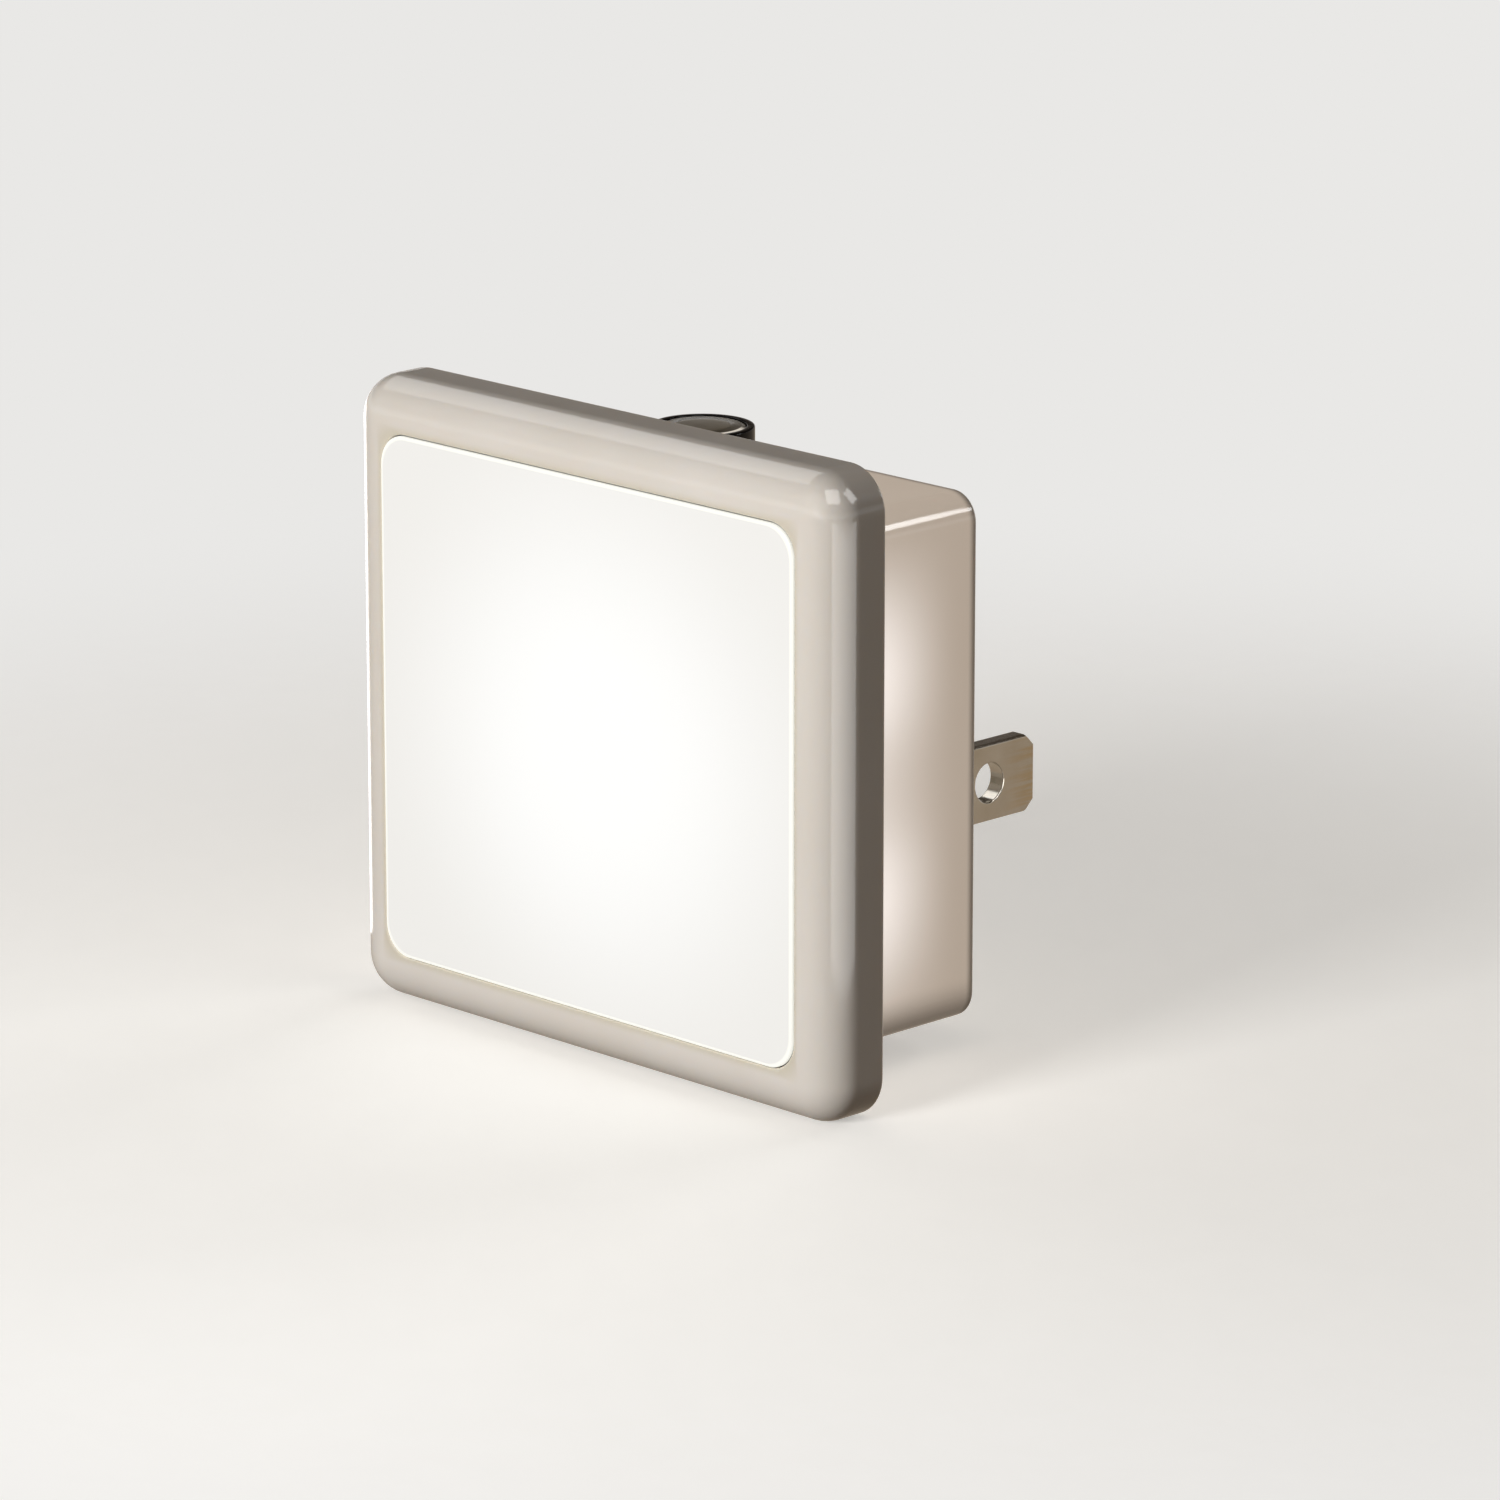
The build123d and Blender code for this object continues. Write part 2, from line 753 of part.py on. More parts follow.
def leads(name, routes, bend):
    """Round leads, each along its own list of points, with the same bend radius at every corner."""
    with BuildPart() as made:
        for route in routes:
            with BuildLine() as path:
                if len(route) > 2:
                    FilletPolyline(*route, radius=bend)
                else:
                    Polyline(*route)
            with BuildSketch(path.line ^ 0):
                Circle(lead_radius)
            sweep(path=path.line)
    save(made, name)


with BuildPart() as film_capacitor:
    with BuildSketch(at_depth(board_front)):
        with Locations((0, film_z)):
            RectangleRounded(film_length, film_width, film_corner_radius)
    extrude(amount=film_height)
    fillet(film_capacitor.faces().sort_by(Axis.Y)[0].edges(), radius=film_corner_radius / 2)
save(film_capacitor, "film_capacitor")
leads(
    "film_capacitor_leads",
    [[(x, -board_front, z), (x, -lead_end, z)] for x, z in film_lead_spots],
    0,
)

with BuildPart() as electrolytic_capacitor:
    with BuildSketch(Plane.XY.offset(can_base_z)):
        with Locations((can_x, -can_depth)):
            Circle(can_radius)
    extrude(amount=can_length)
    fillet(electrolytic_capacitor.edges().filter_by(GeomType.CIRCLE), radius=can_edge_fillet)
    with Locations((can_x, -can_depth, can_base_z + can_groove_rise)):
        Torus(can_radius, can_groove_radius, mode=Mode.SUBTRACT)
    with BuildSketch(Plane.XY.offset(can_base_z)):
        with Locations((can_x, -can_depth)):
            Circle(can_radius - can_seal_wall)
    extrude(amount=can_seal_depth, mode=Mode.SUBTRACT)
save(electrolytic_capacitor, "electrolytic_capacitor")

with BuildPart() as electrolytic_seal:
    with BuildSketch(Plane.XY.offset(can_base_z)):
        with Locations((can_x, -can_depth)):
            Circle(can_radius - can_seal_wall - solder_gap)
    extrude(amount=can_seal_depth)
save(electrolytic_seal, "electrolytic_seal")
leads(
    "electrolytic_leads",
    [[(x, -can_depth, can_base_z), (x, -can_depth, z), (x, -lead_end, z)] for x, z in can_lead_spots],
    can_lead_bend,
)

bridge_spots = [
    (x_side * bridge_lead_pitch / 2, bridge_z + z_side * bridge_width / 2)
    for x_side in (-1, 1)
    for z_side in (-1, 1)
]
with BuildPart() as bridge_rectifier:
    with BuildSketch(at_depth(board_front + bridge_lead_thickness)):
        with Locations((0, bridge_z)):
            Rectangle(bridge_length, bridge_width)
    extrude(amount=bridge_height, taper=bridge_draft)
save(bridge_rectifier, "bridge_rectifier")

with BuildPart() as bridge_terminals:
    with BuildSketch(at_depth(board_front)):
        for x, z in bridge_spots:
            outward = 1 if z > bridge_z else -1
            with Locations((x, z + outward * (bridge_lead_reach - bridge_lead_under) / 2)):
                Rectangle(bridge_lead_width, bridge_lead_reach + bridge_lead_under)
    extrude(amount=bridge_lead_thickness)
save(bridge_terminals, "bridge_terminals")


def upright_axial(name, x, z, radius, length):
    """An axial component with its axis along Z, lying just above the main board."""
    with BuildPart() as made:
        with BuildSketch(Plane.XY.offset(z - length / 2)):
            with Locations((x, -board_front - axial_lift - radius)):
                Circle(radius)
        extrude(amount=length)
        fillet(made.edges().filter_by(GeomType.CIRCLE), radius=axial_end_fillet)
    save(made, name)


def upright_routes(x, z, radius, length, pitch):
    """Lead routes of such a component, out of each end and then into the board."""
    depth = board_front + axial_lift + radius
    return [
        [
            (x, -depth, z + end * length / 2),
            (x, -depth, z + end * pitch / 2),
            (x, -lead_end, z + end * pitch / 2),
        ]
        for end in (-1, 1)
    ]


upright_axial("fuse_resistor", fuse_x, fuse_centre_z, fuse_radius, fuse_length)
leads(
    "fuse_resistor_leads",
    upright_routes(fuse_x, fuse_centre_z, fuse_radius, fuse_length, fuse_pitch),
    axial_lead_bend,
)
upright_axial("bleed_resistor", bleed_x, bleed_centre_z, bleed_radius, bleed_length)
leads(
    "bleed_resistor_leads",
    upright_routes(bleed_x, bleed_centre_z, bleed_radius, bleed_length, bleed_pitch),
    axial_lead_bend,
)

zener_depth = board_front + axial_lift + zener_radius
with BuildPart() as zener_diode:
    with BuildSketch(Plane.YZ.offset(zener_x - zener_length / 2)):
        with Locations((-zener_depth, component_row_z)):
            Circle(zener_radius)
    extrude(amount=zener_length)
    fillet(zener_diode.edges().filter_by(GeomType.CIRCLE), radius=axial_end_fillet)
save(zener_diode, "zener_diode")
leads(
    "zener_diode_leads",
    [
        [
            (zener_x + end * zener_length / 2, -zener_depth, component_row_z),
            (zener_x + end * zener_pitch / 2, -zener_depth, component_row_z),
            (zener_x + end * zener_pitch / 2, -lead_end, component_row_z),
        ]
        for end in (-1, 1)
    ],
    axial_lead_bend,
)

transistor_depth = board_front + transistor_lift
with BuildPart() as transistor:
    with BuildSketch(at_depth(transistor_depth)):
        with Locations((transistor_x, component_row_z)):
            Circle(transistor_radius)
        with Locations((transistor_x, component_row_z - transistor_flat)):
            Rectangle(
                2 * transistor_radius,
                transistor_radius + transistor_flat,
                align=(Align.CENTER, Align.MIN),
                mode=Mode.INTERSECT,
            )
    extrude(amount=transistor_height)
save(transistor, "transistor")
leads(
    "transistor_side_leads",
    [
        [
            (transistor_x + side * transistor_pin_pitch, -transistor_depth, component_row_z),
            (
                transistor_x + side * transistor_pin_pitch,
                -transistor_depth + transistor_lead_straight,
                component_row_z,
            ),
            (
                transistor_x + side * transistor_lead_pitch,
                -transistor_depth + transistor_lead_straight + transistor_lead_spread,
                component_row_z,
            ),
            (transistor_x + side * transistor_lead_pitch, -lead_end, component_row_z),
        ]
        for side in (-1, 1)
    ],
    transistor_lead_bend,
)
leads(
    "transistor_middle_lead",
    [[(transistor_x, -transistor_depth, component_row_z), (transistor_x, -lead_end, component_row_z)]],
    0,
)

# ---------------------------------------------------------------- dusk sensor

with BuildPart() as sensor_collar:
    with BuildSketch(Plane.XY.offset(collar_bottom)):
        with Locations((0, -sensor_depth)):
            Circle(collar_radius)
    extrude(amount=collar_top - collar_bottom)
    fillet(sensor_collar.faces().sort_by(Axis.Z)[-1].edges(), radius=collar_edge_fillet)
    with BuildSketch(Plane.XY.offset(collar_bottom)):
        with Locations((0, -sensor_depth)):
            Circle(collar_flange_radius)
    extrude(amount=collar_flange_thickness)
    with BuildSketch(Plane.XY.offset(collar_bottom)):
        with Locations((0, -sensor_depth)):
            Circle(collar_bore - collar_seat_width)
    extrude(amount=collar_top - collar_bottom, mode=Mode.SUBTRACT)
    with BuildSketch(Plane.XY.offset(sensor_window_bottom)):
        with Locations((0, -sensor_depth)):
            Circle(collar_bore)
    extrude(amount=collar_top - sensor_window_bottom, mode=Mode.SUBTRACT)
save(sensor_collar, "sensor_collar")

with BuildPart() as sensor_window:
    with BuildSketch(Plane.XY.offset(sensor_window_bottom)):
        with Locations((0, -sensor_depth)):
            Circle(collar_bore - sensor_window_gap)
    extrude(amount=sensor_window_thickness)
save(sensor_window, "sensor_window")

with BuildPart() as photocell:
    with BuildSketch(Plane.XY.offset(cell_bottom)):
        with Locations((0, -sensor_depth)):
            Circle(cell_radius)
            Rectangle(2 * cell_radius, 2 * cell_flat, mode=Mode.INTERSECT)
    extrude(amount=cell_thickness)
save(photocell, "photocell")
leads(
    "photocell_leads",
    [
        [(x, -sensor_depth, cell_bottom), (x, -sensor_depth, z), (x, -lead_end, z)]
        for x, z in cell_lead_spots
    ],
    cell_lead_bend,
)
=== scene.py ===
import math
import bpy
import numpy as np
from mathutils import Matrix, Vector


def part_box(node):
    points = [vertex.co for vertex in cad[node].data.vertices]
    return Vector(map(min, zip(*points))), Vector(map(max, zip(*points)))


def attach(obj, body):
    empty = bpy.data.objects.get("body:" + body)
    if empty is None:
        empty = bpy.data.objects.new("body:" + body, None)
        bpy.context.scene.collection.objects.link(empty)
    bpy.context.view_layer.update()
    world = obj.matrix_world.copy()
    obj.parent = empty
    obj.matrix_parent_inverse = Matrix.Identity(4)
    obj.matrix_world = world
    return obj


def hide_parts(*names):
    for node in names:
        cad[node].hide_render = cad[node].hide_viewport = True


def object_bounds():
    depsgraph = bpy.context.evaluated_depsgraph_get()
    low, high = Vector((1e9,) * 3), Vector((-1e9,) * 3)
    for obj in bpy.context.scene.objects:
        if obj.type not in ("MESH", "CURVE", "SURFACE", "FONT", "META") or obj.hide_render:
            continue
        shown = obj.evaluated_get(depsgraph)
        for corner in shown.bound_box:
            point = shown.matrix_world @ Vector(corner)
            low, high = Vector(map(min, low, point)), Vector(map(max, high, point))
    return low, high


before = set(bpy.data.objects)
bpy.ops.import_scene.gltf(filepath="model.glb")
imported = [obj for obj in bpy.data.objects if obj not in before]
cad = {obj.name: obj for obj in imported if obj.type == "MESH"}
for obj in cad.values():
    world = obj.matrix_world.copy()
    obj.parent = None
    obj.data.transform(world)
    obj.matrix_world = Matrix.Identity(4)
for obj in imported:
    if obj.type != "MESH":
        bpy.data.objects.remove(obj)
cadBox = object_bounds()
mm = 0.001
print("frame loaded:", len(cad), "nodes")


# surfaces: grids of points worked out as whole arrays

def roundedRings(halfWidths, halfHeights, radii, cornerSteps=12, sideSteps=10):
    # A ring is a rounded rectangle about the origin. Each of its four quarter circles is
    # centre + radius * (cos a, sin a), with its centre one radius in from both sides, and the
    # straight sides between them are cut evenly. One ring per entry of the three lists.
    halfWidth, halfHeight, radius = (
        np.asarray(values, float)[:, None, None] for values in (halfWidths, halfHeights, radii)
    )
    quarter = np.arange(4)[None, :, None]
    angle = (quarter + np.linspace(0, 1, cornerSteps + 1)) * math.pi / 2
    signAcross = np.array([1, -1, -1, 1])[None, :, None]
    signUp = np.array([1, 1, -1, -1])[None, :, None]
    across = signAcross * (halfWidth - radius) + radius * np.cos(angle)
    up = signUp * (halfHeight - radius) + radius * np.sin(angle)
    corners = np.stack([across, up], -1)
    start, end = corners[:, :, -1:], np.roll(corners, -1, 1)[:, :, :1]
    share = np.linspace(0, 1, sideSteps + 1)[1:-1, None]
    rings = np.concatenate([corners, start + share * (end - start)], 2)
    return rings.reshape(len(rings), -1, 2)


def roundProfile(keys, closed):
    # keys are (halfWidth, halfHeight, cornerRadius, depth, rounding, steps). A key with a rounding
    # (P, Q), or one number for both, becomes a quarter of an ellipse that stays tangent to its
    # neighbours: key + P(1 - sin t) * unit way back + Q(1 - cos t) * unit way on, t from 0 to 90 degrees.
    points = np.array([key[:4] for key in keys], float)
    rows = []
    for i, (*_, rounding, steps) in enumerate(keys):
        ends = (i in (0, len(keys) - 1)) and not closed
        if ends or not rounding:
            rows.append(points[i][None])
            continue
        ways = [points[i - 1] - points[i], points[(i + 1) % len(keys)] - points[i]]
        back, on = (way / np.abs(way[[0, 1, 3]]).max() for way in ways)
        turn = np.linspace(0, math.pi / 2, steps + 1)[:, None]
        before, after = np.broadcast_to(rounding, 2)
        rows.append(points[i] + before * (1 - np.sin(turn)) * back + after * (1 - np.cos(turn)) * on)
    return np.concatenate(rows)


poleShare = 0.02  # an open surface's first and last rings are this share of the piece's size


def gridPiece(name, grid, closed, material, attributes=()):
    # grid is rings x points x 3, every ring closed on itself. Quads join each ring to the next;
    # a closed profile also joins the last ring to the first, and an open one ends in two poles.
    ringCount, pointCount = grid.shape[:2]
    index = np.arange(ringCount * pointCount).reshape(ringCount, pointCount)
    lower = index if closed else index[:-1]
    upper = np.roll(index, -1, 0) if closed else index[1:]
    faces = np.stack([lower, np.roll(lower, -1, 1), np.roll(upper, -1, 1), upper], -1)
    faces = faces.reshape(-1, 4).tolist()
    points = grid.reshape(-1, 3)
    if not closed:
        poles = np.stack([grid[0].mean(0), grid[-1].mean(0)])
        first = np.full(pointCount, len(points))
        faces += np.stack([np.roll(index[0], -1), index[0], first], -1).tolist()
        faces += np.stack([index[-1], np.roll(index[-1], -1), first + 1], -1).tolist()
        points = np.concatenate([points, poles])
    fan = np.array([[face[0], face[i], face[i + 1]] for face in faces for i in range(1, len(face) - 1)])
    a, b, c = (points[fan[:, i]] for i in range(3))
    if np.einsum("ij,ij->i", a, np.cross(b, c)).sum() < 0:  # six times the volume, below 0 if inside out
        faces = [face[::-1] for face in faces]
    mesh = bpy.data.meshes.new(name)
    mesh.from_pydata((points * mm).tolist(), [], faces)
    for attributeName, perRing in attributes:
        values = np.repeat(perRing, pointCount)
        values = np.concatenate([values, [] if closed else [perRing[0], perRing[-1]]])
        layer = mesh.attributes.new(attributeName, "FLOAT", "POINT")
        layer.data.foreach_set("value", values.astype(np.float32))
    mesh.shade_smooth()
    mesh.materials.append(material)
    piece = bpy.data.objects.new(name, mesh)
    bpy.context.scene.collection.objects.link(piece)
    piece.modifiers.new("flat faces stay flat", "WEIGHTED_NORMAL").keep_sharp = True
    return piece


def settle(piece, slotName, *replaced):
    # every new piece is fixed to the one body of the light
    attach(piece, "root")
    if replaced:
        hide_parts(*replaced)
    print("made", piece.name, len(piece.data.polygons), "faces")


# materials: helpers that every finish below uses

def toLinear(hexColour):
    # sRGB hex to linear: c / 12.92 below 0.04045, else ((c + 0.055) / 1.055) ** 2.4
    c = np.array([int(hexColour[i:i + 2], 16) for i in (1, 3, 5)]) / 255
    linear = np.where(c <= 0.04045, c / 12.92, ((c + 0.055) / 1.055) ** 2.4)
    return (*linear, 1.0)


def addNode(tree, kind, settings):
    # a lower case key is one of the node's own settings, any other key is an input by name or
    # number: a socket is linked to it, and a hex colour is turned to linear
    node = tree.nodes.new("ShaderNode" + kind)
    for key, value in settings.items():
        if isinstance(key, str) and key[0].islower():
            setattr(node, key, value)
        elif isinstance(value, bpy.types.NodeSocket):
            tree.links.new(value, node.inputs[key])
        elif isinstance(value, str) and value.startswith("#"):
            node.inputs[key].default_value = toLinear(value)
        else:
            node.inputs[key].default_value = value
    return node


def newMaterial(name):
    material = bpy.data.materials.new(name)
    material.use_nodes = True
    material.node_tree.nodes.clear()
    return material, material.node_tree


def finishMaterial(tree, shader):
    addNode(tree, "OutputMaterial", {"Surface": shader.outputs[0]})


def ownPlace(tree):
    # the object's own coordinates, which every pattern is laid by
    return addNode(tree, "TexCoord", {}).outputs["Object"]


def splitPlace(tree, place):
    # the three coordinates, to be taken by their letters
    return addNode(tree, "SeparateXYZ", {0: place}).outputs


def maths(tree, operation, *values):
    # one step of arithmetic, on numbers or sockets
    return addNode(tree, "Math", {"operation": operation, **dict(enumerate(values))}).outputs[0]


def ramp(tree, value, start, end, low=0.0, high=1.0, kind="SMOOTHSTEP"):
    # low where the value is at its start and high at its end, eased at both unless LINEAR
    return addNode(tree, "MapRange", {
        "interpolation_type": kind, 0: value, 1: start, 2: end, 3: low, 4: high,
    }).outputs[0]


def blend(tree, share, first, second, kind="MIX"):
    # the first colour at share 0 and the second at share 1, or with ADD the first plus the share
    # of the second
    return addNode(tree, "Mix", {
        "data_type": "RGBA", "blend_type": kind, 0: share, 6: first, 7: second,
    }).outputs[2]


def fromAxis(tree, place, x, y):
    # the way out to each point from a vertical axis at (x, y) in mm
    return addNode(tree, "Mapping", {
        "Vector": place, "Location": (-x * mm, -y * mm, 0), "Scale": (1, 1, 0),
    }).outputs[0]


def lengthOf(tree, vector):
    return addNode(tree, "VectorMath", {"operation": "LENGTH", 0: vector}).outputs["Value"]


def turnedTo(tree, vector, way):
    # the cosine of the angle between the vector and a level way
    unit = addNode(tree, "VectorMath", {"operation": "NORMALIZE", 0: vector})
    return addNode(tree, "VectorMath", {
        "operation": "DOT_PRODUCT", 0: unit.outputs[0], 1: (*way, 0),
    }).outputs["Value"]


def fromMesh(tree, attributeName):
    # a value that the piece's own mesh carries
    return addNode(tree, "Attribute", {"attribute_name": attributeName}).outputs["Fac"]


def perMetre(sizeMm):
    # a noise of scale 1 has features about 1 m apart, so the scale is 1 over the size in metres
    return 1 / (sizeMm * mm)


noiseSpan = (0.3, 0.7)  # nearly all of a noise's values lie between these


def wander(tree, place, sizeMm, low, high):
    # a smooth random value from low to high whose patches are about sizeMm across
    patches = addNode(tree, "TexNoise", {"Vector": place, "Scale": perMetre(sizeMm), "Detail": 3.0})
    return ramp(tree, patches.outputs[0], *noiseSpan, low, high, "LINEAR")


def streaks(tree, place, sizesMm, detail):
    # a noise whose features have the three sizes along x, y and z
    scale = [perMetre(size) for size in sizesMm]
    stretched = addNode(tree, "Mapping", {"Vector": place, "Scale": scale}).outputs[0]
    return addNode(tree, "TexNoise", {"Vector": stretched, "Scale": 1.0, "Detail": detail}).outputs[0]


def relief(tree, place, layers):
    # bumps laid over each other, each one a (patch size, height) in mm
    under = {}
    for sizeMm, deepMm in layers:
        grain = addNode(tree, "TexNoise", {"Vector": place, "Scale": perMetre(sizeMm), "Detail": 2.0})
        bump = addNode(tree, "Bump", {"Height": grain.outputs[0], "Distance": deepMm * mm, **under})
        bump.inputs["Strength"].default_value = 1.0
        under = {"Normal": bump.outputs[0]}
    return under["Normal"]


def mouldedPlastic(name, look):
    # Moulded plastic: even colour with soft clouds from the melt's flow, a fine spark grain,
    # faint sink waves that bend the reflections, and a gloss that varies from touch to touch.
    material, tree = newMaterial(name)
    place = ownPlace(tree)
    clouds = wander(tree, place, look["cloudMm"], 0.0, 1.0)
    colour = blend(tree, clouds, look["colour"], look["flow"])
    shader = addNode(tree, "BsdfPrincipled", {
        "Base Color": colour,
        "Roughness": wander(tree, place, look["smudgeMm"], *look["roughness"]),
        "Normal": relief(tree, place, look["relief"]),
    })
    shader.inputs["IOR"].default_value = look["ior"]
    if "shine" in look:
        shader.inputs["Specular IOR Level"].default_value = look["shine"]
    if "throughMm" in look:  # light carried under the surface
        shader.inputs["Subsurface Weight"].default_value = look["through"]
        shader.inputs["Subsurface Radius"].default_value = (1.0, 0.75, 0.5)  # red goes furthest
        shader.inputs["Subsurface Scale"].default_value = look["throughMm"] * mm
    finishMaterial(tree, shader)
    return material, tree, shader, colour


def metalFinish(name, look):
    # Metal: rolling or drawing lines stretched along the work, a gloss that changes along them,
    # and stains where fingers and flux have dulled it.
    material, tree = newMaterial(name)
    place = ownPlace(tree)
    lines = streaks(tree, place, look["lineMm"], 3.0)
    stains = wander(tree, place, look["stainMm"], 0.0, 1.0)
    colour = blend(tree, stains, look["colour"], look["stain"])
    bump = addNode(tree, "Bump", {"Height": lines, "Strength": 1.0, "Distance": look["lineDeepMm"] * mm})
    shader = addNode(tree, "BsdfPrincipled", {
        "Base Color": colour, "Metallic": 1.0,
        "Roughness": ramp(tree, lines, *noiseSpan, *look["roughness"], "LINEAR"),
        "Normal": bump.outputs[0],
    })
    finishMaterial(tree, shader)
    return material, tree, shader, colour


def dress(material, *nodeNames):
    # a node that stays as it came gets its material in all its slots
    for nodeName in nodeNames:
        for slot in cad[nodeName].material_slots:
            slot.material = material
    print("dressed", *nodeNames, "in", material.name)


def nodeBox(nodeName):
    # a node's two far corners in mm
    return tuple(np.array(corner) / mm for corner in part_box(nodeName))


# the front bezel: a frame with rounded front edges round the window

bezelLow, bezelHigh = nodeBox("front_bezel")
lensLow, lensHigh = nodeBox("diffuser_lens")

bezelShape = {
    "halfWidth": (bezelHigh[0] - bezelLow[0]) / 2,
    "halfHeight": (bezelHigh[2] - bezelLow[2]) / 2,
    "centreZ": (bezelHigh[2] + bezelLow[2]) / 2,
    "backDepth": -bezelHigh[1],
    "frontDepth": -bezelLow[1],
    "cornerRadius": 3.5,
    "frontRound": (3.1, 3.3),  # down the side and in over the front
    "backRound": 0.3,
    "sideBorder": 3.85,
    "topBorder": 4.05,
    "windowCorner": 2.6,
    "lipRound": 0.14,
    "wall": 1.2,
    "insideRound": 1.6,
    "flatMargin": 0.05,  # the flat front starts this far in from the rounding
    "ledgeRound": 0.08,
    "rimRound": 0.12,
}


def onPanel(rows, cornerSteps=12, sideSteps=10):
    # panel surfaces: the ring's two directions are X and Z, and the profile's depth runs along -Y
    rings = roundedRings(rows[:, 0], rows[:, 1], rows[:, 2], cornerSteps, sideSteps)
    depth = np.broadcast_to(rows[:, 3, None], rings.shape[:2])
    return np.stack([rings[..., 0], -depth, bezelShape["centreZ"] + rings[..., 1]], -1)


def makeBezel(shape, material):
    # the wall's section, from its back edge over the rounded front to the window and back inside,
    # carried round a rounded rectangle that changes its corner radius on the way in
    halfWidth, halfHeight, corner = shape["halfWidth"], shape["halfHeight"], shape["cornerRadius"]
    inset = shape["frontRound"][1] + shape["flatMargin"]
    window = (halfWidth - shape["sideBorder"], halfHeight - shape["topBorder"], shape["windowCorner"])
    inner = (halfWidth - shape["wall"], halfHeight - shape["wall"], corner - shape["wall"])
    front, back = shape["frontDepth"], shape["backDepth"]
    ledge = front - shape["wall"]
    rows = roundProfile([
        (halfWidth, halfHeight, corner, back, shape["backRound"], 4),
        (halfWidth, halfHeight, corner, front, shape["frontRound"], 16),
        (halfWidth - inset, halfHeight - inset, corner - inset, front, 0, 0),
        (*window, front, shape["lipRound"], 4),
        (*window, ledge, shape["ledgeRound"], 2),
        (*inner, ledge, shape["insideRound"], 8),
        (*inner, back, shape["rimRound"], 2),
    ], closed=True)
    fromLip = np.abs(rows[:, 0] - window[0]) + np.abs(front - rows[:, 3])
    return gridPiece("bezelShell", onPanel(rows), True, material, [("fromLip", fromLip)])


absLook = {
    "colour": "#DDD7CF", "flow": "#D8D1C7", "cloudMm": 16.0,
    "smudgeMm": 6.0, "roughness": (0.09, 0.14), "ior": 1.54,
    "relief": [(9.0, 0.04), (0.35, 0.0015)],  # sink waves and spark grain
    "through": 0.1, "throughMm": 1.2,
}

# ABS moulded, warm off-white: a polished gloss with a little light carried under the surface
absBezel, bezelTree, bezelShader, bezelColour = mouldedPlastic("ABS moulded bezel", absLook)

lipPaintedGlowShade = {"colour": "#D0C8B7", "reachMm": 0.5}  # painted light and shade: a warm, darker band on the bezel beside the lens, for the lens's glow in its edge and the shade of the gap

# painted glow and shade, strongest right at the lens's edge
nearPaintedLip = ramp(bezelTree, fromMesh(bezelTree, "fromLip"), lipPaintedGlowShade["reachMm"], 0.0)
paintedLipColour = blend(bezelTree, nearPaintedLip, bezelColour, lipPaintedGlowShade["colour"])
bezelTree.links.new(paintedLipColour, bezelShader.inputs["Base Color"])

bezel = makeBezel(bezelShape, absBezel)
settle(bezel, "housing_plastic", "front_bezel")


# the rear housing: the box that stands on the outlet, kept from the frame

housingPaintedGlow = {
    "colour": "#C9C1B5", "flow": "#C4BBAE",  # darker than the bezel's ABS, with the painted glow below added on top
    "wall": "#A29588",  # painted light: a warm glow laid over all the box's walls
    "footZ": (-14.7, -11.0), "footShare": 0.15,  # painted shade: the glow falls to this share at the box's foot
    "patch": "#F9F9FC", "patchStrength": 0.64,  # painted light: pale patches beside the LED board
    "flangeY": (-19.8, -17.5), "backY": (-1.1, -0.2),  # where the painted glow starts and stops
    "patchY": (-14.0, -1.5), "patchMost": 0.74,  # the patches stay level beside the LED board
    "patches": [(14.1, 13.0), (-3.1, 13.0)],  # (height, reach up and down) in mm
}


def makeHousingMaterial(glow):
    # The same ABS as the bezel, darker, under painted light: a warm emission over the box's walls
    # stands in for light falling on it, with two paler painted patches near the panel that die away towards
    # the wall.
    plasticUnderPaintedGlow = {**absLook, "colour": glow["colour"], "flow": glow["flow"]}
    material, tree, shader, _ = mouldedPlastic("ABS moulded housing", plasticUnderPaintedGlow)
    apart = splitPlace(tree, ownPlace(tree))

    def between(axis, ends, low, high):
        return ramp(tree, apart[axis], ends[0] * mm, ends[1] * mm, low, high)

    # painted light: two patches, each brightest at its height and fading up and down
    total = 0.0
    for height, reach in glow["patches"]:
        far = maths(tree, "ABSOLUTE", maths(tree, "SUBTRACT", apart["Z"], height * mm))
        total = maths(tree, "ADD", ramp(tree, far, 0.0, reach * mm, 1.0, 0.0), total)
    level = maths(tree, "MINIMUM", between("Y", glow["patchY"], 1.0, 0.0), glow["patchMost"])
    amount = maths(tree, "MULTIPLY", maths(tree, "MULTIPLY", total, level), glow["patchStrength"])
    through = blend(tree, amount, glow["wall"], glow["patch"], "ADD")
    # painted shade: the glow fades out at the flange, before the back and towards the foot
    starts, stops = between("Y", glow["flangeY"], 0.0, 1.0), between("Y", glow["backY"], 1.0, 0.0)
    foot = between("Z", glow["footZ"], glow["footShare"], 1.0)
    paintedGlowShare = maths(tree, "MULTIPLY", maths(tree, "MULTIPLY", starts, stops), foot)
    tree.links.new(blend(tree, paintedGlowShare, "#000000", through), shader.inputs["Emission Color"])
    shader.inputs["Emission Strength"].default_value = 1.0
    return material


dress(makeHousingMaterial(housingPaintedGlow), "rear_housing")


# the opal lens: the lit window

lensShape = {
    "frontDepth": -lensLow[1],
    "backDepth": -lensHigh[1],
    "flangeHalfWidth": (lensHigh[0] - lensLow[0]) / 2,
    "flangeHalfHeight": (lensHigh[2] - lensLow[2]) / 2,
    "gap": 0.1,
    "edgeRound": 0.15,
    "crown": 0.04,
    "flangeRound": 0.1,
    "pocketMargin": 1.4,
    "pocketDeep": 0.7,
}


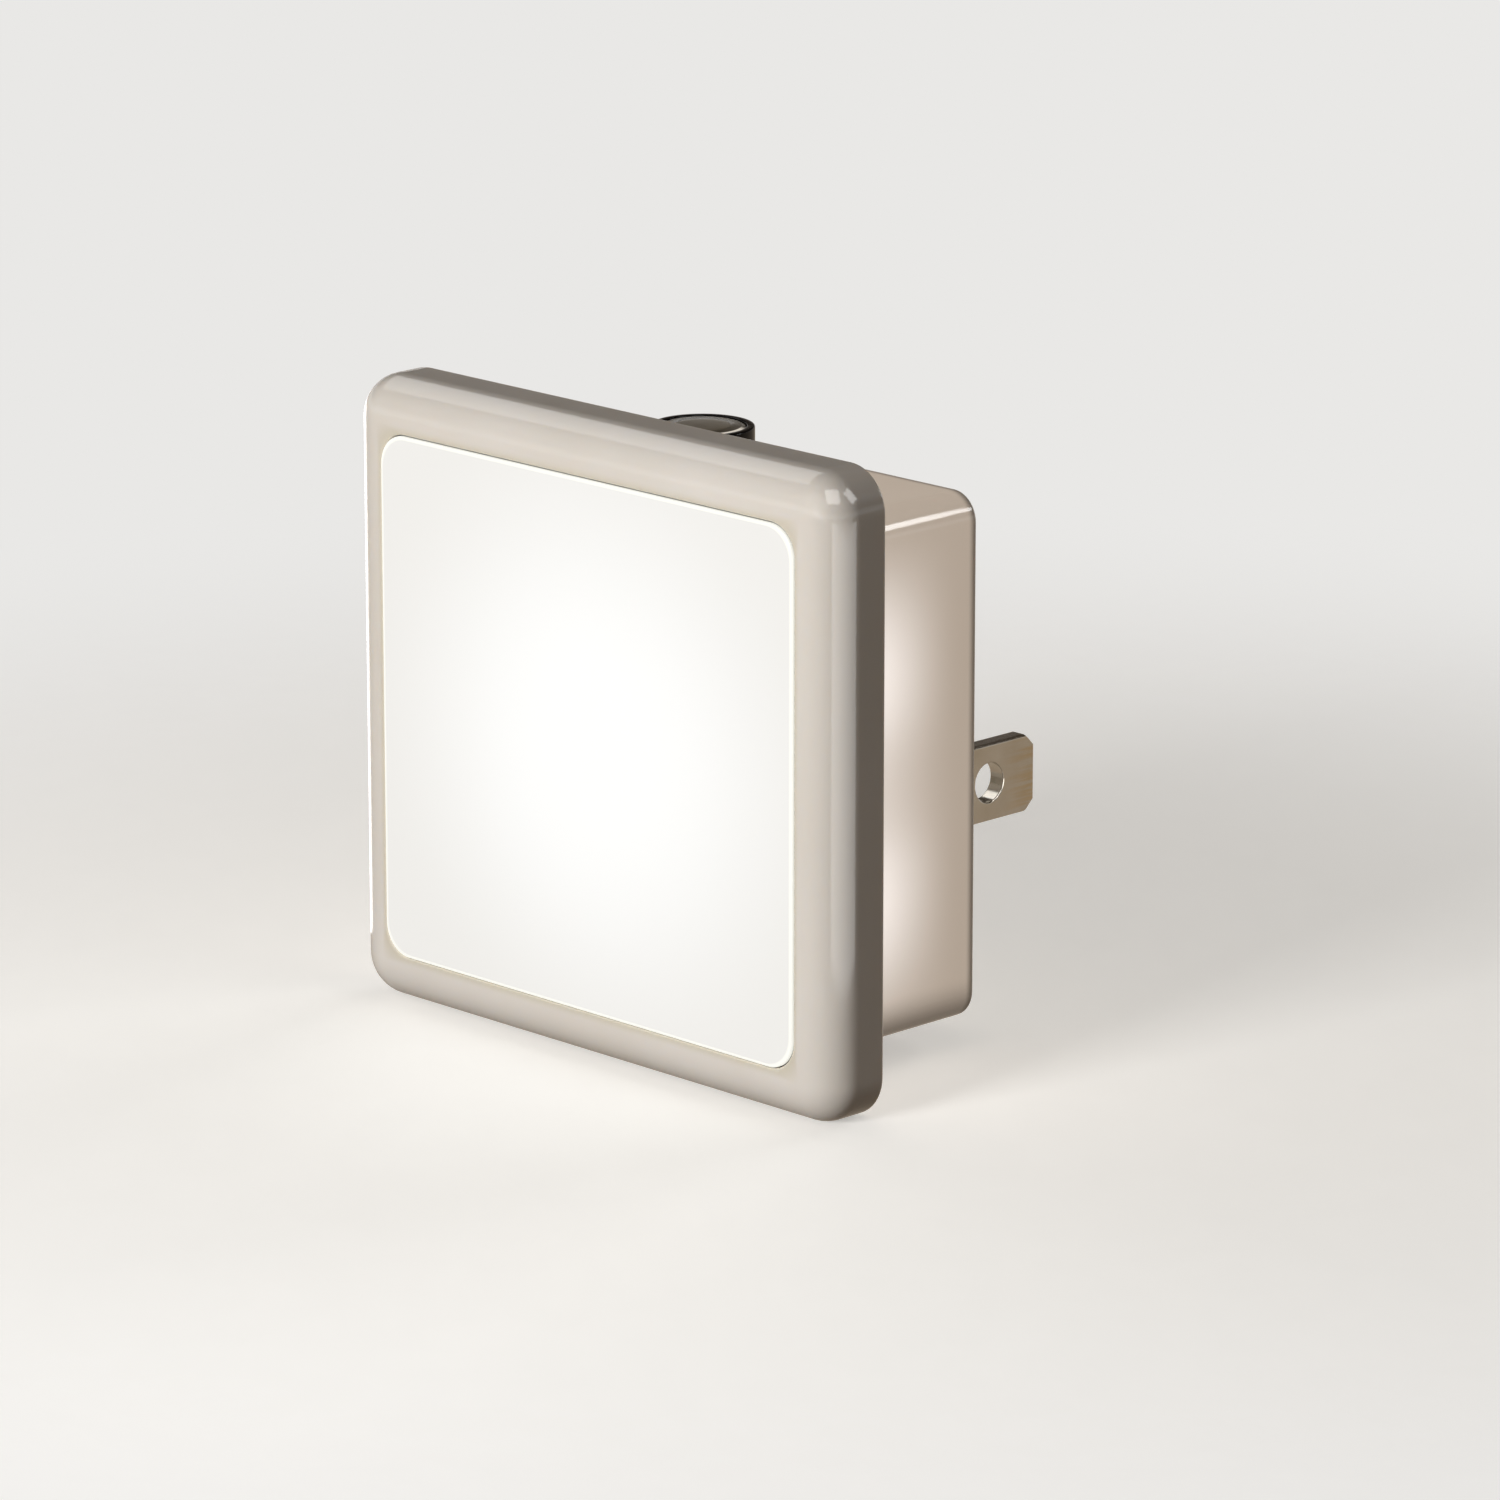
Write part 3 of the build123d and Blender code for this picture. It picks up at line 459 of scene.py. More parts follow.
def makeLens(shape, material):
    # a thin tray: the crowned front plate, its rounded edge, the side wall and the flange behind
    # the bezel, then the pocket at the back, all carried round the window's rounded rectangle
    b = bezelShape
    halfWidth = b["halfWidth"] - b["sideBorder"] - shape["gap"]
    halfHeight = b["halfHeight"] - b["topBorder"] - shape["gap"]
    corner = b["windowCorner"] - shape["gap"]
    front, back = shape["frontDepth"], shape["backDepth"]
    ledge = b["frontDepth"] - b["wall"]
    flange = (shape["flangeHalfWidth"], shape["flangeHalfHeight"], b["windowCorner"])
    margin = shape["pocketMargin"] - shape["gap"]
    pocket = (halfWidth - margin, halfHeight - margin, b["windowCorner"])
    share = np.array([poleShare, 0.25, 0.5, 0.75, 0.94])
    crown = front - shape["crown"] * share ** 2  # depth falls with the square of the way out
    facing = [(halfWidth * s, halfHeight * s, corner * s, d, 0, 0) for s, d in zip(share, crown)]
    roofDepth = back + shape["pocketDeep"]
    roof = [(pocket[0] * s, pocket[1] * s, pocket[2] * s, roofDepth, 0, 0) for s in (0.5, poleShare)]
    rows = roundProfile([
        *facing,
        (halfWidth, halfHeight, corner, front - shape["crown"], shape["edgeRound"], 6),
        (halfWidth, halfHeight, corner, ledge, 0, 0),
        (*flange, ledge, shape["flangeRound"], 2),
        (*flange, back, shape["flangeRound"], 2),
        (*pocket, back, 0, 0),
        (*pocket, roofDepth, 0, 0),
        *roof,
    ], closed=False)
    fromEdge = np.abs(halfWidth - rows[:, 0])
    fromFront = front - rows[:, 3]
    attributes = [("fromEdge", fromEdge), ("fromFront", fromFront)]
    return gridPiece("opalLens", onPanel(rows), False, material, attributes)


lensLook = {
    "body": "#969694",  # what the opal sheet gives back by itself, under the glow
    "centre": "#D9DADA", "rim": "#C7C6C3", "edge": "#DEDED6",
    "middleX": 1.5, "hotMm": 5.0, "fadeMm": 27.0,  # the brightest spot, and where it has faded to the rim
    "edgeMm": 0.34, "sideMm": 0.45,  # the lit edge's width, and how deep its glow reaches
    "roughness": (0.29, 0.37), "ior": 1.585, "hazeMm": 4.0, "relief": [(0.3, 0.002)],
}


def opalPolycarbonate(name, look):
    # Opal polycarbonate lit from behind: the glow is brightest over the LEDs, falls off smoothly
    # with the distance from the centre and gathers as a thin cream line in the rounded edge.
    material, tree = newMaterial(name)
    place = ownPlace(tree)
    centred = addNode(tree, "Mapping", {
        "Vector": place, "Location": (-look["middleX"] * mm, 0, -bezelShape["centreZ"] * mm),
        "Scale": (1, 0, 1),
    })
    away = lengthOf(tree, centred.outputs[0])
    fade = ramp(tree, away, look["hotMm"] * mm, look["fadeMm"] * mm)
    glow = blend(tree, fade, look["centre"], look["rim"])
    atEdge = ramp(tree, fromMesh(tree, "fromEdge"), look["edgeMm"], look["edgeMm"] / 2)
    edged = blend(tree, atEdge, glow, look["edge"])
    onSide = ramp(tree, fromMesh(tree, "fromFront"), look["sideMm"] / 2, look["sideMm"])
    shader = addNode(tree, "BsdfPrincipled", {
        "Base Color": look["body"], "Roughness": wander(tree, place, look["hazeMm"], *look["roughness"]),
        "IOR": look["ior"], "Normal": relief(tree, place, look["relief"]),
        "Emission Color": blend(tree, onSide, edged, "#000000"), "Emission Strength": 1.0,
    })
    finishMaterial(tree, shader)
    return material


lens = makeLens(lensShape, opalPolycarbonate("polycarbonate opal lit", lensLook))
settle(lens, "opal_diffuser", "diffuser_lens")


# the dusk sensor on top: a black collar, its window and the cell under it

collarLow, collarHigh = nodeBox("sensor_collar")
windowLow, windowHigh = nodeBox("sensor_window")

collarShape = {
    "axisY": (collarHigh[1] + collarLow[1]) / 2,
    "flangeRadius": (collarHigh[0] - collarLow[0]) / 2,
    "bottom": collarLow[2],
    "top": collarHigh[2],
    "radius": 4.04,
    "wall": 0.62,
    "seat": 0.45,
    "flangeThick": 1.0,
    "outerRound": 0.14,
    "innerRound": 0.07,
}

turnedSteps = 72  # round a whole turn


def turned(rows, axisY):
    # a section (radius, height) turned about a vertical axis at (0, axisY): the points
    # (radius * cos a, axisY + radius * sin a, height) for even steps of the angle a
    angle = np.linspace(0, 2 * math.pi, turnedSteps, endpoint=False)
    across = rows[:, :1] * np.cos(angle)
    along = axisY + rows[:, :1] * np.sin(angle)
    return np.stack([across, along, np.broadcast_to(rows[:, 3:4], across.shape)], -1)


def turnedKeys(section):
    # a section's (radius, height, rounding, steps) as the keys that roundProfile takes
    return [(radius, radius, radius, height, rounding, steps) for radius, height, rounding, steps in section]


def makeCollar(shape, material):
    # a tube with a flange at its foot, rounded rims and a seat inside that the window lies on
    bore = shape["radius"] - shape["wall"]
    seatRadius = bore - shape["seat"]
    rows = roundProfile(turnedKeys([
        (shape["flangeRadius"], shape["bottom"], 0, 0),
        (shape["flangeRadius"], shape["bottom"] + shape["flangeThick"], 0, 0),
        (shape["radius"], shape["bottom"] + shape["flangeThick"], 0, 0),
        (shape["radius"], shape["top"], shape["outerRound"], 5),
        (bore, shape["top"], shape["innerRound"], 4),
        (bore, windowLow[2], 0, 0),
        (seatRadius, windowLow[2], 0, 0),
        (seatRadius, shape["bottom"], 0, 0),
    ]), closed=True)
    return gridPiece("sensorCollarRing", turned(rows, shape["axisY"]), True, material)


windowShape = {
    "radius": (windowHigh[0] - windowLow[0]) / 2,
    "bottom": windowLow[2],
    "top": collarHigh[2] + 0.03,  # the lens stands just proud of the collar
    "lensRadius": 2.2,
    "lensDome": 0.03,
    "stepWidth": 0.05,
    "stepDeep": 0.02,
    "stepRound": 0.01,
    "bevelWidth": 0.34,
    "bevelDeep": 0.11,
    "bevelRound": 0.03,
    "footRound": 0.05,
}


def makeSensorWindow(shape, material):
    # a thin disc with a lens in its middle, whose height falls as top - dome * share squared, and a
    # bevel round it that starts just under the collar's rim
    radius, top, middle = shape["radius"], shape["top"], shape["lensRadius"]
    ring = top - shape["lensDome"] - shape["stepDeep"]
    share = np.array([poleShare, 0.25, 0.5, 0.75])
    section = [(middle * s, top - shape["lensDome"] * s ** 2, 0, 0) for s in share]
    section += [
        (middle, top - shape["lensDome"], shape["stepRound"], 2),
        (middle + shape["stepWidth"], ring, 0, 0),
        (radius - shape["bevelWidth"], ring, shape["bevelRound"], 3),
        (radius, ring - shape["bevelDeep"], shape["bevelRound"], 3),
        (radius, shape["bottom"], shape["footRound"], 2),
        (radius * 0.5, shape["bottom"], 0, 0),
        (radius * poleShare, shape["bottom"], 0, 0),
    ]
    rows = roundProfile(turnedKeys(section), closed=False)
    return gridPiece("sensorWindowDisc", turned(rows, collarShape["axisY"]), False, material)


# ABS moulded black: a deep black that gives back little of the pale room
blackAbs, *_ = mouldedPlastic("ABS moulded black gloss", {
    "colour": "#0E0D0E", "flow": "#131214", "cloudMm": 4.0,
    "smudgeMm": 2.0, "roughness": (0.08, 0.14), "ior": 1.54, "shine": 0.16,
    "relief": [(3.0, 0.01), (0.3, 0.0006)],
})

windowLook = {
    "ring": "#7F7869", "lens": "#A09784", "edge": "#7F7869", "dustMm": 0.9, "roughness": (0.18, 0.26),
    "ior": 1.585, "shine": 0.2, "clear": 0.06, "relief": [(1.6, 0.01), (0.25, 0.001)],
    "paintedEdgeHighlight": "#FFF6E8", "paintedHighlightStrength": 0.6,
    "paintedHighlightWay": (0.92, -0.39), "paintedHighlightReach": (0.45, 0.75),  # the side the painted highlight is on, and the cosines it fades over
    "lensBlurMm": (-0.15, 0.1), "bevelBlurMm": (-0.02, 0.02),  # how far the colours run into each other
}


def smokedPolycarbonate(name, look):
    # Smoked polycarbonate, satin: a grey filter that hides most of the cell, lighter in the lens
    # in its middle, with a soft gloss from moulding and a little dust. A pale line is painted as
    # emission on the front-right side of the bevel: a painted highlight.
    material, tree = newMaterial(name)
    place = ownPlace(tree)
    out = fromAxis(tree, place, 0, collarShape["axisY"])
    away = lengthOf(tree, out)
    lensEdge, bevelEdge = windowShape["lensRadius"], windowShape["radius"] - windowShape["bevelWidth"]
    pastLens = ramp(tree, away, *((lensEdge + blur) * mm for blur in look["lensBlurMm"]))
    onBevel = ramp(tree, away, *((bevelEdge + blur) * mm for blur in look["bevelBlurMm"]), kind="LINEAR")
    tint = blend(tree, pastLens, look["lens"], look["ring"])
    # painted highlight: a pale line on the bevel, on its side towards the front right
    facingPaintedHighlight = ramp(tree, turnedTo(tree, out, look["paintedHighlightWay"]), *look["paintedHighlightReach"])
    lit = maths(tree, "MULTIPLY", facingPaintedHighlight, onBevel)
    shader = addNode(tree, "BsdfPrincipled", {
        "Base Color": blend(tree, onBevel, tint, look["edge"]),
        "Roughness": wander(tree, place, look["dustMm"], *look["roughness"]),
        "IOR": look["ior"], "Specular IOR Level": look["shine"], "Transmission Weight": look["clear"],
        "Normal": relief(tree, place, look["relief"]),
        "Emission Color": blend(tree, lit, "#000000", look["paintedEdgeHighlight"]),
        "Emission Strength": look["paintedHighlightStrength"],
    })
    finishMaterial(tree, shader)
    return material


settle(makeCollar(collarShape, blackAbs), "black_plastic", "sensor_collar")
smokedWindow = smokedPolycarbonate("polycarbonate smoked satin", windowLook)
settle(makeSensorWindow(windowShape, smokedWindow), "smoked_window", "sensor_window")


# the light cell under the window
cellLook = {
    "ceramic": "#E4DCC6", "track": "#9A4A26", "electrode": "#C9C5BC",
    "trackMm": 0.26, "pitchMm": 0.85, "swingMm": 1.25, "fieldMm": 1.95,
    "roughness": (0.12, 0.24), "ior": 1.5, "stainMm": 0.8, "relief": [(0.5, 0.004)],
    "lacquer": 0.6, "lacquerRoughness": 0.08,
}


def photocellCeramic(name, look):
    # Ceramic under clear lacquer: a sensor track that zigzags between two silvery electrodes on
    # its face. The track is where |y - zigzag(x)| is small, inside a round field.
    material, tree = newMaterial(name)
    place = ownPlace(tree)
    out = fromAxis(tree, place, 0, collarShape["axisY"])
    apart = splitPlace(tree, out)
    half, swing = look["pitchMm"] / 2 * mm, look["swingMm"] * mm
    folded = maths(tree, "PINGPONG", apart["X"], half)
    zigzag = ramp(tree, folded, 0.0, half, -swing, swing, "LINEAR")
    slope = 2 * look["swingMm"] / (look["pitchMm"] / 2)
    offTrack = maths(tree, "SUBTRACT", apart["Y"], zigzag)
    onTrack = maths(tree, "COMPARE", offTrack, 0.0, look["trackMm"] / 2 * slope * mm)
    inField = maths(tree, "LESS_THAN", lengthOf(tree, out), look["fieldMm"] * mm)
    printed = blend(tree, onTrack, look["electrode"], look["track"])
    shader = addNode(tree, "BsdfPrincipled", {
        "Base Color": blend(tree, inField, look["ceramic"], printed),
        "Roughness": wander(tree, place, look["stainMm"], *look["roughness"]),
        "IOR": look["ior"], "Normal": relief(tree, place, look["relief"]),
        "Coat Weight": look["lacquer"], "Coat Roughness": look["lacquerRoughness"],
    })
    finishMaterial(tree, shader)
    return material


dress(photocellCeramic("ceramic light cell lacquered", cellLook), "photocell")


# plain moulded parts inside the housing
mouldings = {
    # nylon in its natural ivory, a dull satin
    "nylon moulded natural": (["blade_retainer"], {
        "colour": "#D9D2BF", "flow": "#D2CAB4", "cloudMm": 5.0, "smudgeMm": 2.5, "roughness": (0.38, 0.5),
        "ior": 1.53, "relief": [(2.5, 0.01), (0.3, 0.004)], "through": 0.1, "throughMm": 0.8,
    }),
    # polypropylene loaded with white: an even soft white that throws light forward
    "polypropylene moulded white": (["reflector"], {
        "colour": "#F2F1ED", "flow": "#ECEBE6", "cloudMm": 12.0, "smudgeMm": 6.0, "roughness": (0.3, 0.42),
        "ior": 1.49, "relief": [(6.0, 0.02), (0.4, 0.002)], "through": 0.15, "throughMm": 1.0,
    }),
    # polyphthalamide cups of the LEDs: bright white, faintly warm from the heat
    "polyphthalamide moulded white": (["led_packages"], {
        "colour": "#EFECE2", "flow": "#E9E3D3", "cloudMm": 1.2, "smudgeMm": 0.8, "roughness": (0.32, 0.42),
        "ior": 1.56, "relief": [(0.9, 0.004), (0.12, 0.001)],
    }),
    # polyester box of the film capacitor: golden yellow with a spark-eroded matt skin
    "polyester moulded yellow": (["film_capacitor"], {
        "colour": "#D6AE3C", "flow": "#CFA433", "cloudMm": 4.0, "smudgeMm": 2.0, "roughness": (0.4, 0.52),
        "ior": 1.57, "relief": [(3.0, 0.02), (0.2, 0.008)],
    }),
    # butyl rubber plug of the electrolytic can: dull black with a grey bloom
    "rubber moulded black": (["electrolytic_seal"], {
        "colour": "#222224", "flow": "#2C2C2E", "cloudMm": 1.5, "smudgeMm": 1.0, "roughness": (0.62, 0.78),
        "ior": 1.52, "relief": [(1.2, 0.01), (0.15, 0.004)],
    }),
    # epoxy round the chips: charcoal, matt, with fine filler grains
    "epoxy moulded charcoal": (["bridge_rectifier", "transistor"], {
        "colour": "#1E1E20", "flow": "#262628", "cloudMm": 1.5, "smudgeMm": 1.0, "roughness": (0.42, 0.58),
        "ior": 1.55, "relief": [(1.0, 0.004), (0.12, 0.004)],
    }),
    # PVC round the wires: smooth and a little waxy
    "PVC extruded black": (["led_wire_negative"], {
        "colour": "#1B1B1D", "flow": "#232325", "cloudMm": 3.0, "smudgeMm": 1.5, "roughness": (0.3, 0.42),
        "ior": 1.53, "relief": [(1.8, 0.02), (0.2, 0.002)],
    }),
    "PVC extruded red": (["led_wire_positive"], {
        "colour": "#B4241C", "flow": "#A81F19", "cloudMm": 3.0, "smudgeMm": 1.5, "roughness": (0.3, 0.42),
        "ior": 1.53, "relief": [(1.8, 0.02), (0.2, 0.002)],
    }),
}
for finishName, (nodeNames, look) in mouldings.items():
    dress(mouldedPlastic(finishName, look)[0], *nodeNames)


# the electrolytic capacitor: sleeve, polarity stripe and bare can top
sleeveLook = {
    "colour": "#1D2A3C", "flow": "#223144", "cloudMm": 3.0, "smudgeMm": 1.5, "roughness": (0.17, 0.26),
    "ior": 1.54, "relief": [(2.2, 0.012), (0.25, 0.001)],
    "stripe": "#C3C9CE", "stripeWay": (-0.87, -0.5), "stripeHalfAngle": 22.0,
    "can": "#CBCCCC", "shoulderMm": 0.7,
}


def shrunkSleeve(name, look, low, high):
    # PVC sleeve shrunk on an aluminium can: glossy dark blue, with a pale stripe down the side of
    # the negative lead. The can's top is left bare inside the rolled shoulder.
    material, tree, shader, colour = mouldedPlastic(name, look)
    axis = (low + high) / 2
    radius = (high[0] - low[0]) / 2
    place = ownPlace(tree)
    out = fromAxis(tree, place, axis[0], axis[1])
    leastFacing = math.cos(math.radians(look["stripeHalfAngle"]))
    inStripe = maths(tree, "GREATER_THAN", turnedTo(tree, out, look["stripeWay"]), leastFacing)
    sleeve = blend(tree, inStripe, colour, look["stripe"])
    inside = maths(tree, "LESS_THAN", lengthOf(tree, out), (radius - look["shoulderMm"]) * mm)
    height = splitPlace(tree, place)["Z"]
    atTop = maths(tree, "GREATER_THAN", height, (high[2] - look["shoulderMm"]) * mm)
    bare = maths(tree, "MULTIPLY", inside, atTop)
    tree.links.new(blend(tree, bare, sleeve, look["can"]), shader.inputs["Base Color"])
    tree.links.new(bare, shader.inputs["Metallic"])
    return material


canLow, canHigh = nodeBox("electrolytic_capacitor")
dress(shrunkSleeve("PVC shrunk sleeve blue", sleeveLook, canLow, canHigh), "electrolytic_capacitor")


# resistors and the diode: coloured bands across the body
def bandedBody(name, look, nodeName, axis):
    # A dipped or glass body with painted bands. A band is where |share along the body - its
    # place| is less than its half width.
    material, tree, shader, colour = mouldedPlastic(name, look)
    axisNumber = "XYZ".index(axis)
    low, high = (corner[axisNumber] * mm for corner in nodeBox(nodeName))
    share = ramp(tree, splitPlace(tree, ownPlace(tree))[axis], low, high, kind="LINEAR")
    for bandPlace, halfWidth, bandColour in look["bands"]:
        onBand = maths(tree, "COMPARE", share, bandPlace, halfWidth)
        colour = blend(tree, onBand, colour, bandColour)
    tree.links.new(colour, shader.inputs["Base Color"])
    shader.inputs["Coat Weight"].default_value = look["coat"]
    return material, shader


# flameproof lacquer of the fusible resistor: grey-green, slightly gritty, four bands
fuseLook = {
    "colour": "#7F9A92", "flow": "#76918A", "cloudMm": 2.0, "smudgeMm": 1.2, "roughness": (0.36, 0.48),
    "ior": 1.5, "relief": [(1.0, 0.01), (0.2, 0.004)], "coat": 0.1,
    "bands": [
        (0.2, 0.045, "#5A3A24"), (0.36, 0.045, "#1A1A1A"), (0.52, 0.045, "#1A1A1A"), (0.78, 0.045, "#B8923F"),
    ],
}
# carbon film resistor: glossy tan lacquer
bleedLook = {
    "colour": "#CFAE84", "flow": "#C6A478", "cloudMm": 1.5, "smudgeMm": 0.9, "roughness": (0.17, 0.26),
    "ior": 1.5, "relief": [(0.8, 0.008), (0.15, 0.001)], "coat": 0.4,
    "bands": [
        (0.2, 0.06, "#D8B830"), (0.38, 0.06, "#5D3B7A"), (0.56, 0.06, "#D8B830"), (0.8, 0.06, "#B8923F"),
    ],
}
# glass diode: amber glass with a dark ring at the cathode
diodeLook = {
    "colour": "#A8522A", "flow": "#B86A3A", "cloudMm": 1.2, "smudgeMm": 0.8, "roughness": (0.04, 0.1),
    "ior": 1.52, "relief": [(1.0, 0.006), (0.2, 0.0005)], "coat": 0.5,
    "bands": [(0.84, 0.07, "#161618")], "clear": 0.3,
}
dress(bandedBody("lacquer dipped grey-green", fuseLook, "fuse_resistor", "Z")[0], "fuse_resistor")
dress(bandedBody("lacquer dipped tan", bleedLook, "bleed_resistor", "Z")[0], "bleed_resistor")
diodeGlass, diodeShader = bandedBody("glass drawn amber", diodeLook, "zener_diode", "X")
diodeShader.inputs["Transmission Weight"].default_value = diodeLook["clear"]
dress(diodeGlass, "zener_diode")


# boards
wavesPerUnit = 20  # a wave texture's bands repeat this often over one unit of its scale


def maskedBoard(name, look, nodeName):
    # Laminate with solder mask: the mask is smooth and glossy, paler where it lies over copper
    # tracks that stand up under it, over the faint squares of the glass weave. The sawn edges
    # show the bare laminate. A track is where |x - centre| and |z - centre| are both inside it.
    material, tree = newMaterial(name)
    low, high = (corner[1] for corner in nodeBox(nodeName))
    place = ownPlace(tree)
    apart = splitPlace(tree, place)
    copper = 0.0
    for startX, startZ, endX, endZ in look["tracks"]:
        inside = []
        for letter, start, end in (("X", startX, endX), ("Z", startZ, endZ)):
            reach = (abs(end - start) + look["trackMm"]) / 2 * mm
            inside.append(maths(tree, "COMPARE", apart[letter], (start + end) / 2 * mm, reach))
        copper = maths(tree, "MAXIMUM", maths(tree, "MULTIPLY", *inside), copper)
    mask = blend(tree, copper, look["mask"], look["overCopper"])
    threads = []
    for bandsWay in ("X", "Z"):
        threads.append(addNode(tree, "TexWave", {
            "bands_direction": bandsWay, "Vector": place,
            "Scale": perMetre(look["threadMm"]) / wavesPerUnit,
        }).outputs["Fac"])
    weave = maths(tree, "MULTIPLY", *threads)
    copperShare = look["copperMm"] / look["threadDeepMm"]  # how many threads high the copper stands
    bump = addNode(tree, "Bump", {
        "Height": maths(tree, "MULTIPLY_ADD", copper, copperShare, weave), "Strength": 1.0,
        "Distance": look["threadDeepMm"] * mm,
    })
    # 1 between the two faces, where only the sawn edge can be
    toSkin = (high - low) / 2 - look["skinMm"]
    onEdge = maths(tree, "COMPARE", apart["Y"], (low + high) / 2 * mm, toSkin * mm)
    shader = addNode(tree, "BsdfPrincipled", {
        "Base Color": blend(tree, onEdge, mask, look["core"]),
        "Roughness": wander(tree, place, look["smudgeMm"], *look["roughness"]),
        "IOR": look["ior"], "Normal": bump.outputs[0],
    })
    finishMaterial(tree, shader)
    return material


mainBoardLook = {
    "mask": "#1C5632", "overCopper": "#2B7446", "core": "#B7AE7C", "trackMm": 1.4, "copperMm": 0.035,
    "threadMm": 0.8,  # coarser than the real 0.45 mm weave, so that it shows
    "threadDeepMm": 0.004, "skinMm": 0.04, "smudgeMm": 5.0, "roughness": (0.17, 0.26), "ior": 1.52,
    # from the blades over the fuse and the film capacitor to the bridge, then out to the LEDs
    "tracks": [
        (6.35, 0.0, 11.5, 0.0), (11.5, 0.0, 11.5, 2.2), (11.5, 12.6, 11.5, 18.6), (1.3, 18.6, 11.5, 18.6),
        (1.3, 14.0, 1.3, 18.6), (-6.35, 0.0, -6.35, -8.5), (-6.35, -8.5, -5.0, -8.5),
        (5.0, -8.5, 12.0, -8.5), (12.0, -8.5, 12.0, -1.5), (-12.0, 2.7, -12.0, 17.5),
        (-12.0, 17.5, -1.7, 17.5), (-1.7, 17.5, -1.7, 22.0), (-3.0, 1.6, -3.0, 8.0), (3.0, 1.6, 3.0, 6.0),
        (8.2, 7.4, 8.2, 13.4),
    ],
}
ledBoardLook = {
    "mask": "#ECEBE6", "overCopper": "#F6F5F1", "core": "#A9ABAC", "trackMm": 1.6, "copperMm": 0.035,
    "threadMm": 0.8, "threadDeepMm": 0.002, "skinMm": 0.04, "smudgeMm": 4.0, "roughness": (0.29, 0.37),
    "ior": 1.5,
    "tracks": [
        (-10.0, 10.9, 10.0, 10.9), (-10.0, 6.3, 10.0, 6.3), (-10.0, 6.3, -10.0, 10.9),
        (10.0, 6.3, 10.0, 10.9), (-3.0, 3.5, -3.0, 6.3), (3.0, 3.5, 3.0, 6.3),
    ],
}
dress(maskedBoard("laminate masked green", mainBoardLook, "main_board"), "main_board")
dress(maskedBoard("aluminium laminate masked white", ledBoardLook, "led_board"), "led_board")


# the LEDs' phosphor, lit
phosphorLook = {
    "colour": "#E9D05A", "flow": "#F0DC7C", "cloudMm": 0.5, "smudgeMm": 0.4, "roughness": (0.12, 0.2),
    "ior": 1.41, "relief": [(0.4, 0.004), (0.08, 0.0008)], "light": "#FFF1C9", "strength": 0.9,
}
# phosphor in silicone, cast: yellow grains in a glossy clear drop that glows pale yellow
phosphor, _, phosphorShader, _ = mouldedPlastic("silicone cast phosphor lit", phosphorLook)
phosphorShader.inputs["Emission Color"].default_value = toLinear(phosphorLook["light"])
phosphorShader.inputs["Emission Strength"].default_value = phosphorLook["strength"]
dress(phosphor, "led_phosphors")


# metal parts; a line size is (x, y, z) in mm, so the long one is the way the metal was worked
metals = {
    # copper dipped in tin: bright, with a soft wavy skin
    "copper tinned": ([
        "photocell_leads", "film_capacitor_leads", "electrolytic_leads", "bridge_terminals",
        "fuse_resistor_leads", "bleed_resistor_leads", "zener_diode_leads", "transistor_side_leads",
        "transistor_middle_lead",
    ], {
        "colour": "#CFCDC9", "stain": "#BDB9B0", "stainMm": 1.2,
        "lineMm": (0.3, 0.5, 0.3), "lineDeepMm": 0.004, "roughness": (0.29, 0.38),
    }),
    # tin solder: bright fillets, dulled in patches where flux was left
    "tin solder flowed": (["solder_joints", "led_wire_solder"], {
        "colour": "#CCCBC7", "stain": "#A3946A", "stainMm": 0.9,
        "lineMm": (0.5, 0.5, 0.5), "lineDeepMm": 0.01, "roughness": (0.12, 0.26),
    }),
    # steel plated with zinc: a cool grey with fine turning marks
    "steel zinc plated": (["led_board_screws", "main_board_screws"], {
        "colour": "#C1C5C8", "stain": "#ADAFA6", "stainMm": 1.5,
        "lineMm": (0.25, 0.1, 0.25), "lineDeepMm": 0.002, "roughness": (0.29, 0.4),
    }),
}
for finishName, (nodeNames, look) in metals.items():
    dress(metalFinish(finishName, look)[0], *nodeNames)


# the plug blades
bladeLook = {
    "colour": "#DAD6CE", "stain": "#CFC9BD", "stainMm": 3.0,
    "lineMm": (0.16, 6.0, 0.16), "lineDeepMm": 0.0012, "roughness": (0.17, 0.26),
    "worn": "#CFAE6C", "wornFromMm": 4.0, "wornMost": 0.5,
    "streakMm": (0.5, 6.0, 0.35), "streakSpan": (0.48, 0.62),  # the noise's values a streak fades over
}


def wornBlades(name, look, tipY):
    # Brass stamped from rolled strip and plated with nickel: fine lines run along the blade, and
    # near the tip the plating is rubbed through to brass in streaks along them.
    material, tree, shader, colour = metalFinish(name, look)
    place = ownPlace(tree)
    wornFrom = (tipY - look["wornFromMm"]) * mm
    nearTip = ramp(tree, splitPlace(tree, place)["Y"], wornFrom, tipY * mm, 0.0, look["wornMost"], "LINEAR")
    rubbed = ramp(tree, streaks(tree, place, look["streakMm"], 4.0), *look["streakSpan"], kind="LINEAR")
    amount = maths(tree, "MULTIPLY", nearTip, rubbed)
    tree.links.new(blend(tree, amount, colour, look["worn"]), shader.inputs["Base Color"])
    return material


bladeTip = nodeBox("blade_hot")[1][1]
dress(wornBlades("brass nickel plated", bladeLook, bladeTip), "blade_neutral", "blade_hot")


# the stage: floor, air, lamps and camera

def seenPlain(tree, *rays):
    # 1 for the rays that look at the background itself, 0 for those that carry its light
    path = addNode(tree, "LightPath", {})
    total = path.outputs[rays[0]]
    for ray in rays[1:]:
        total = maths(tree, "MAXIMUM", total, path.outputs[ray])
    return total


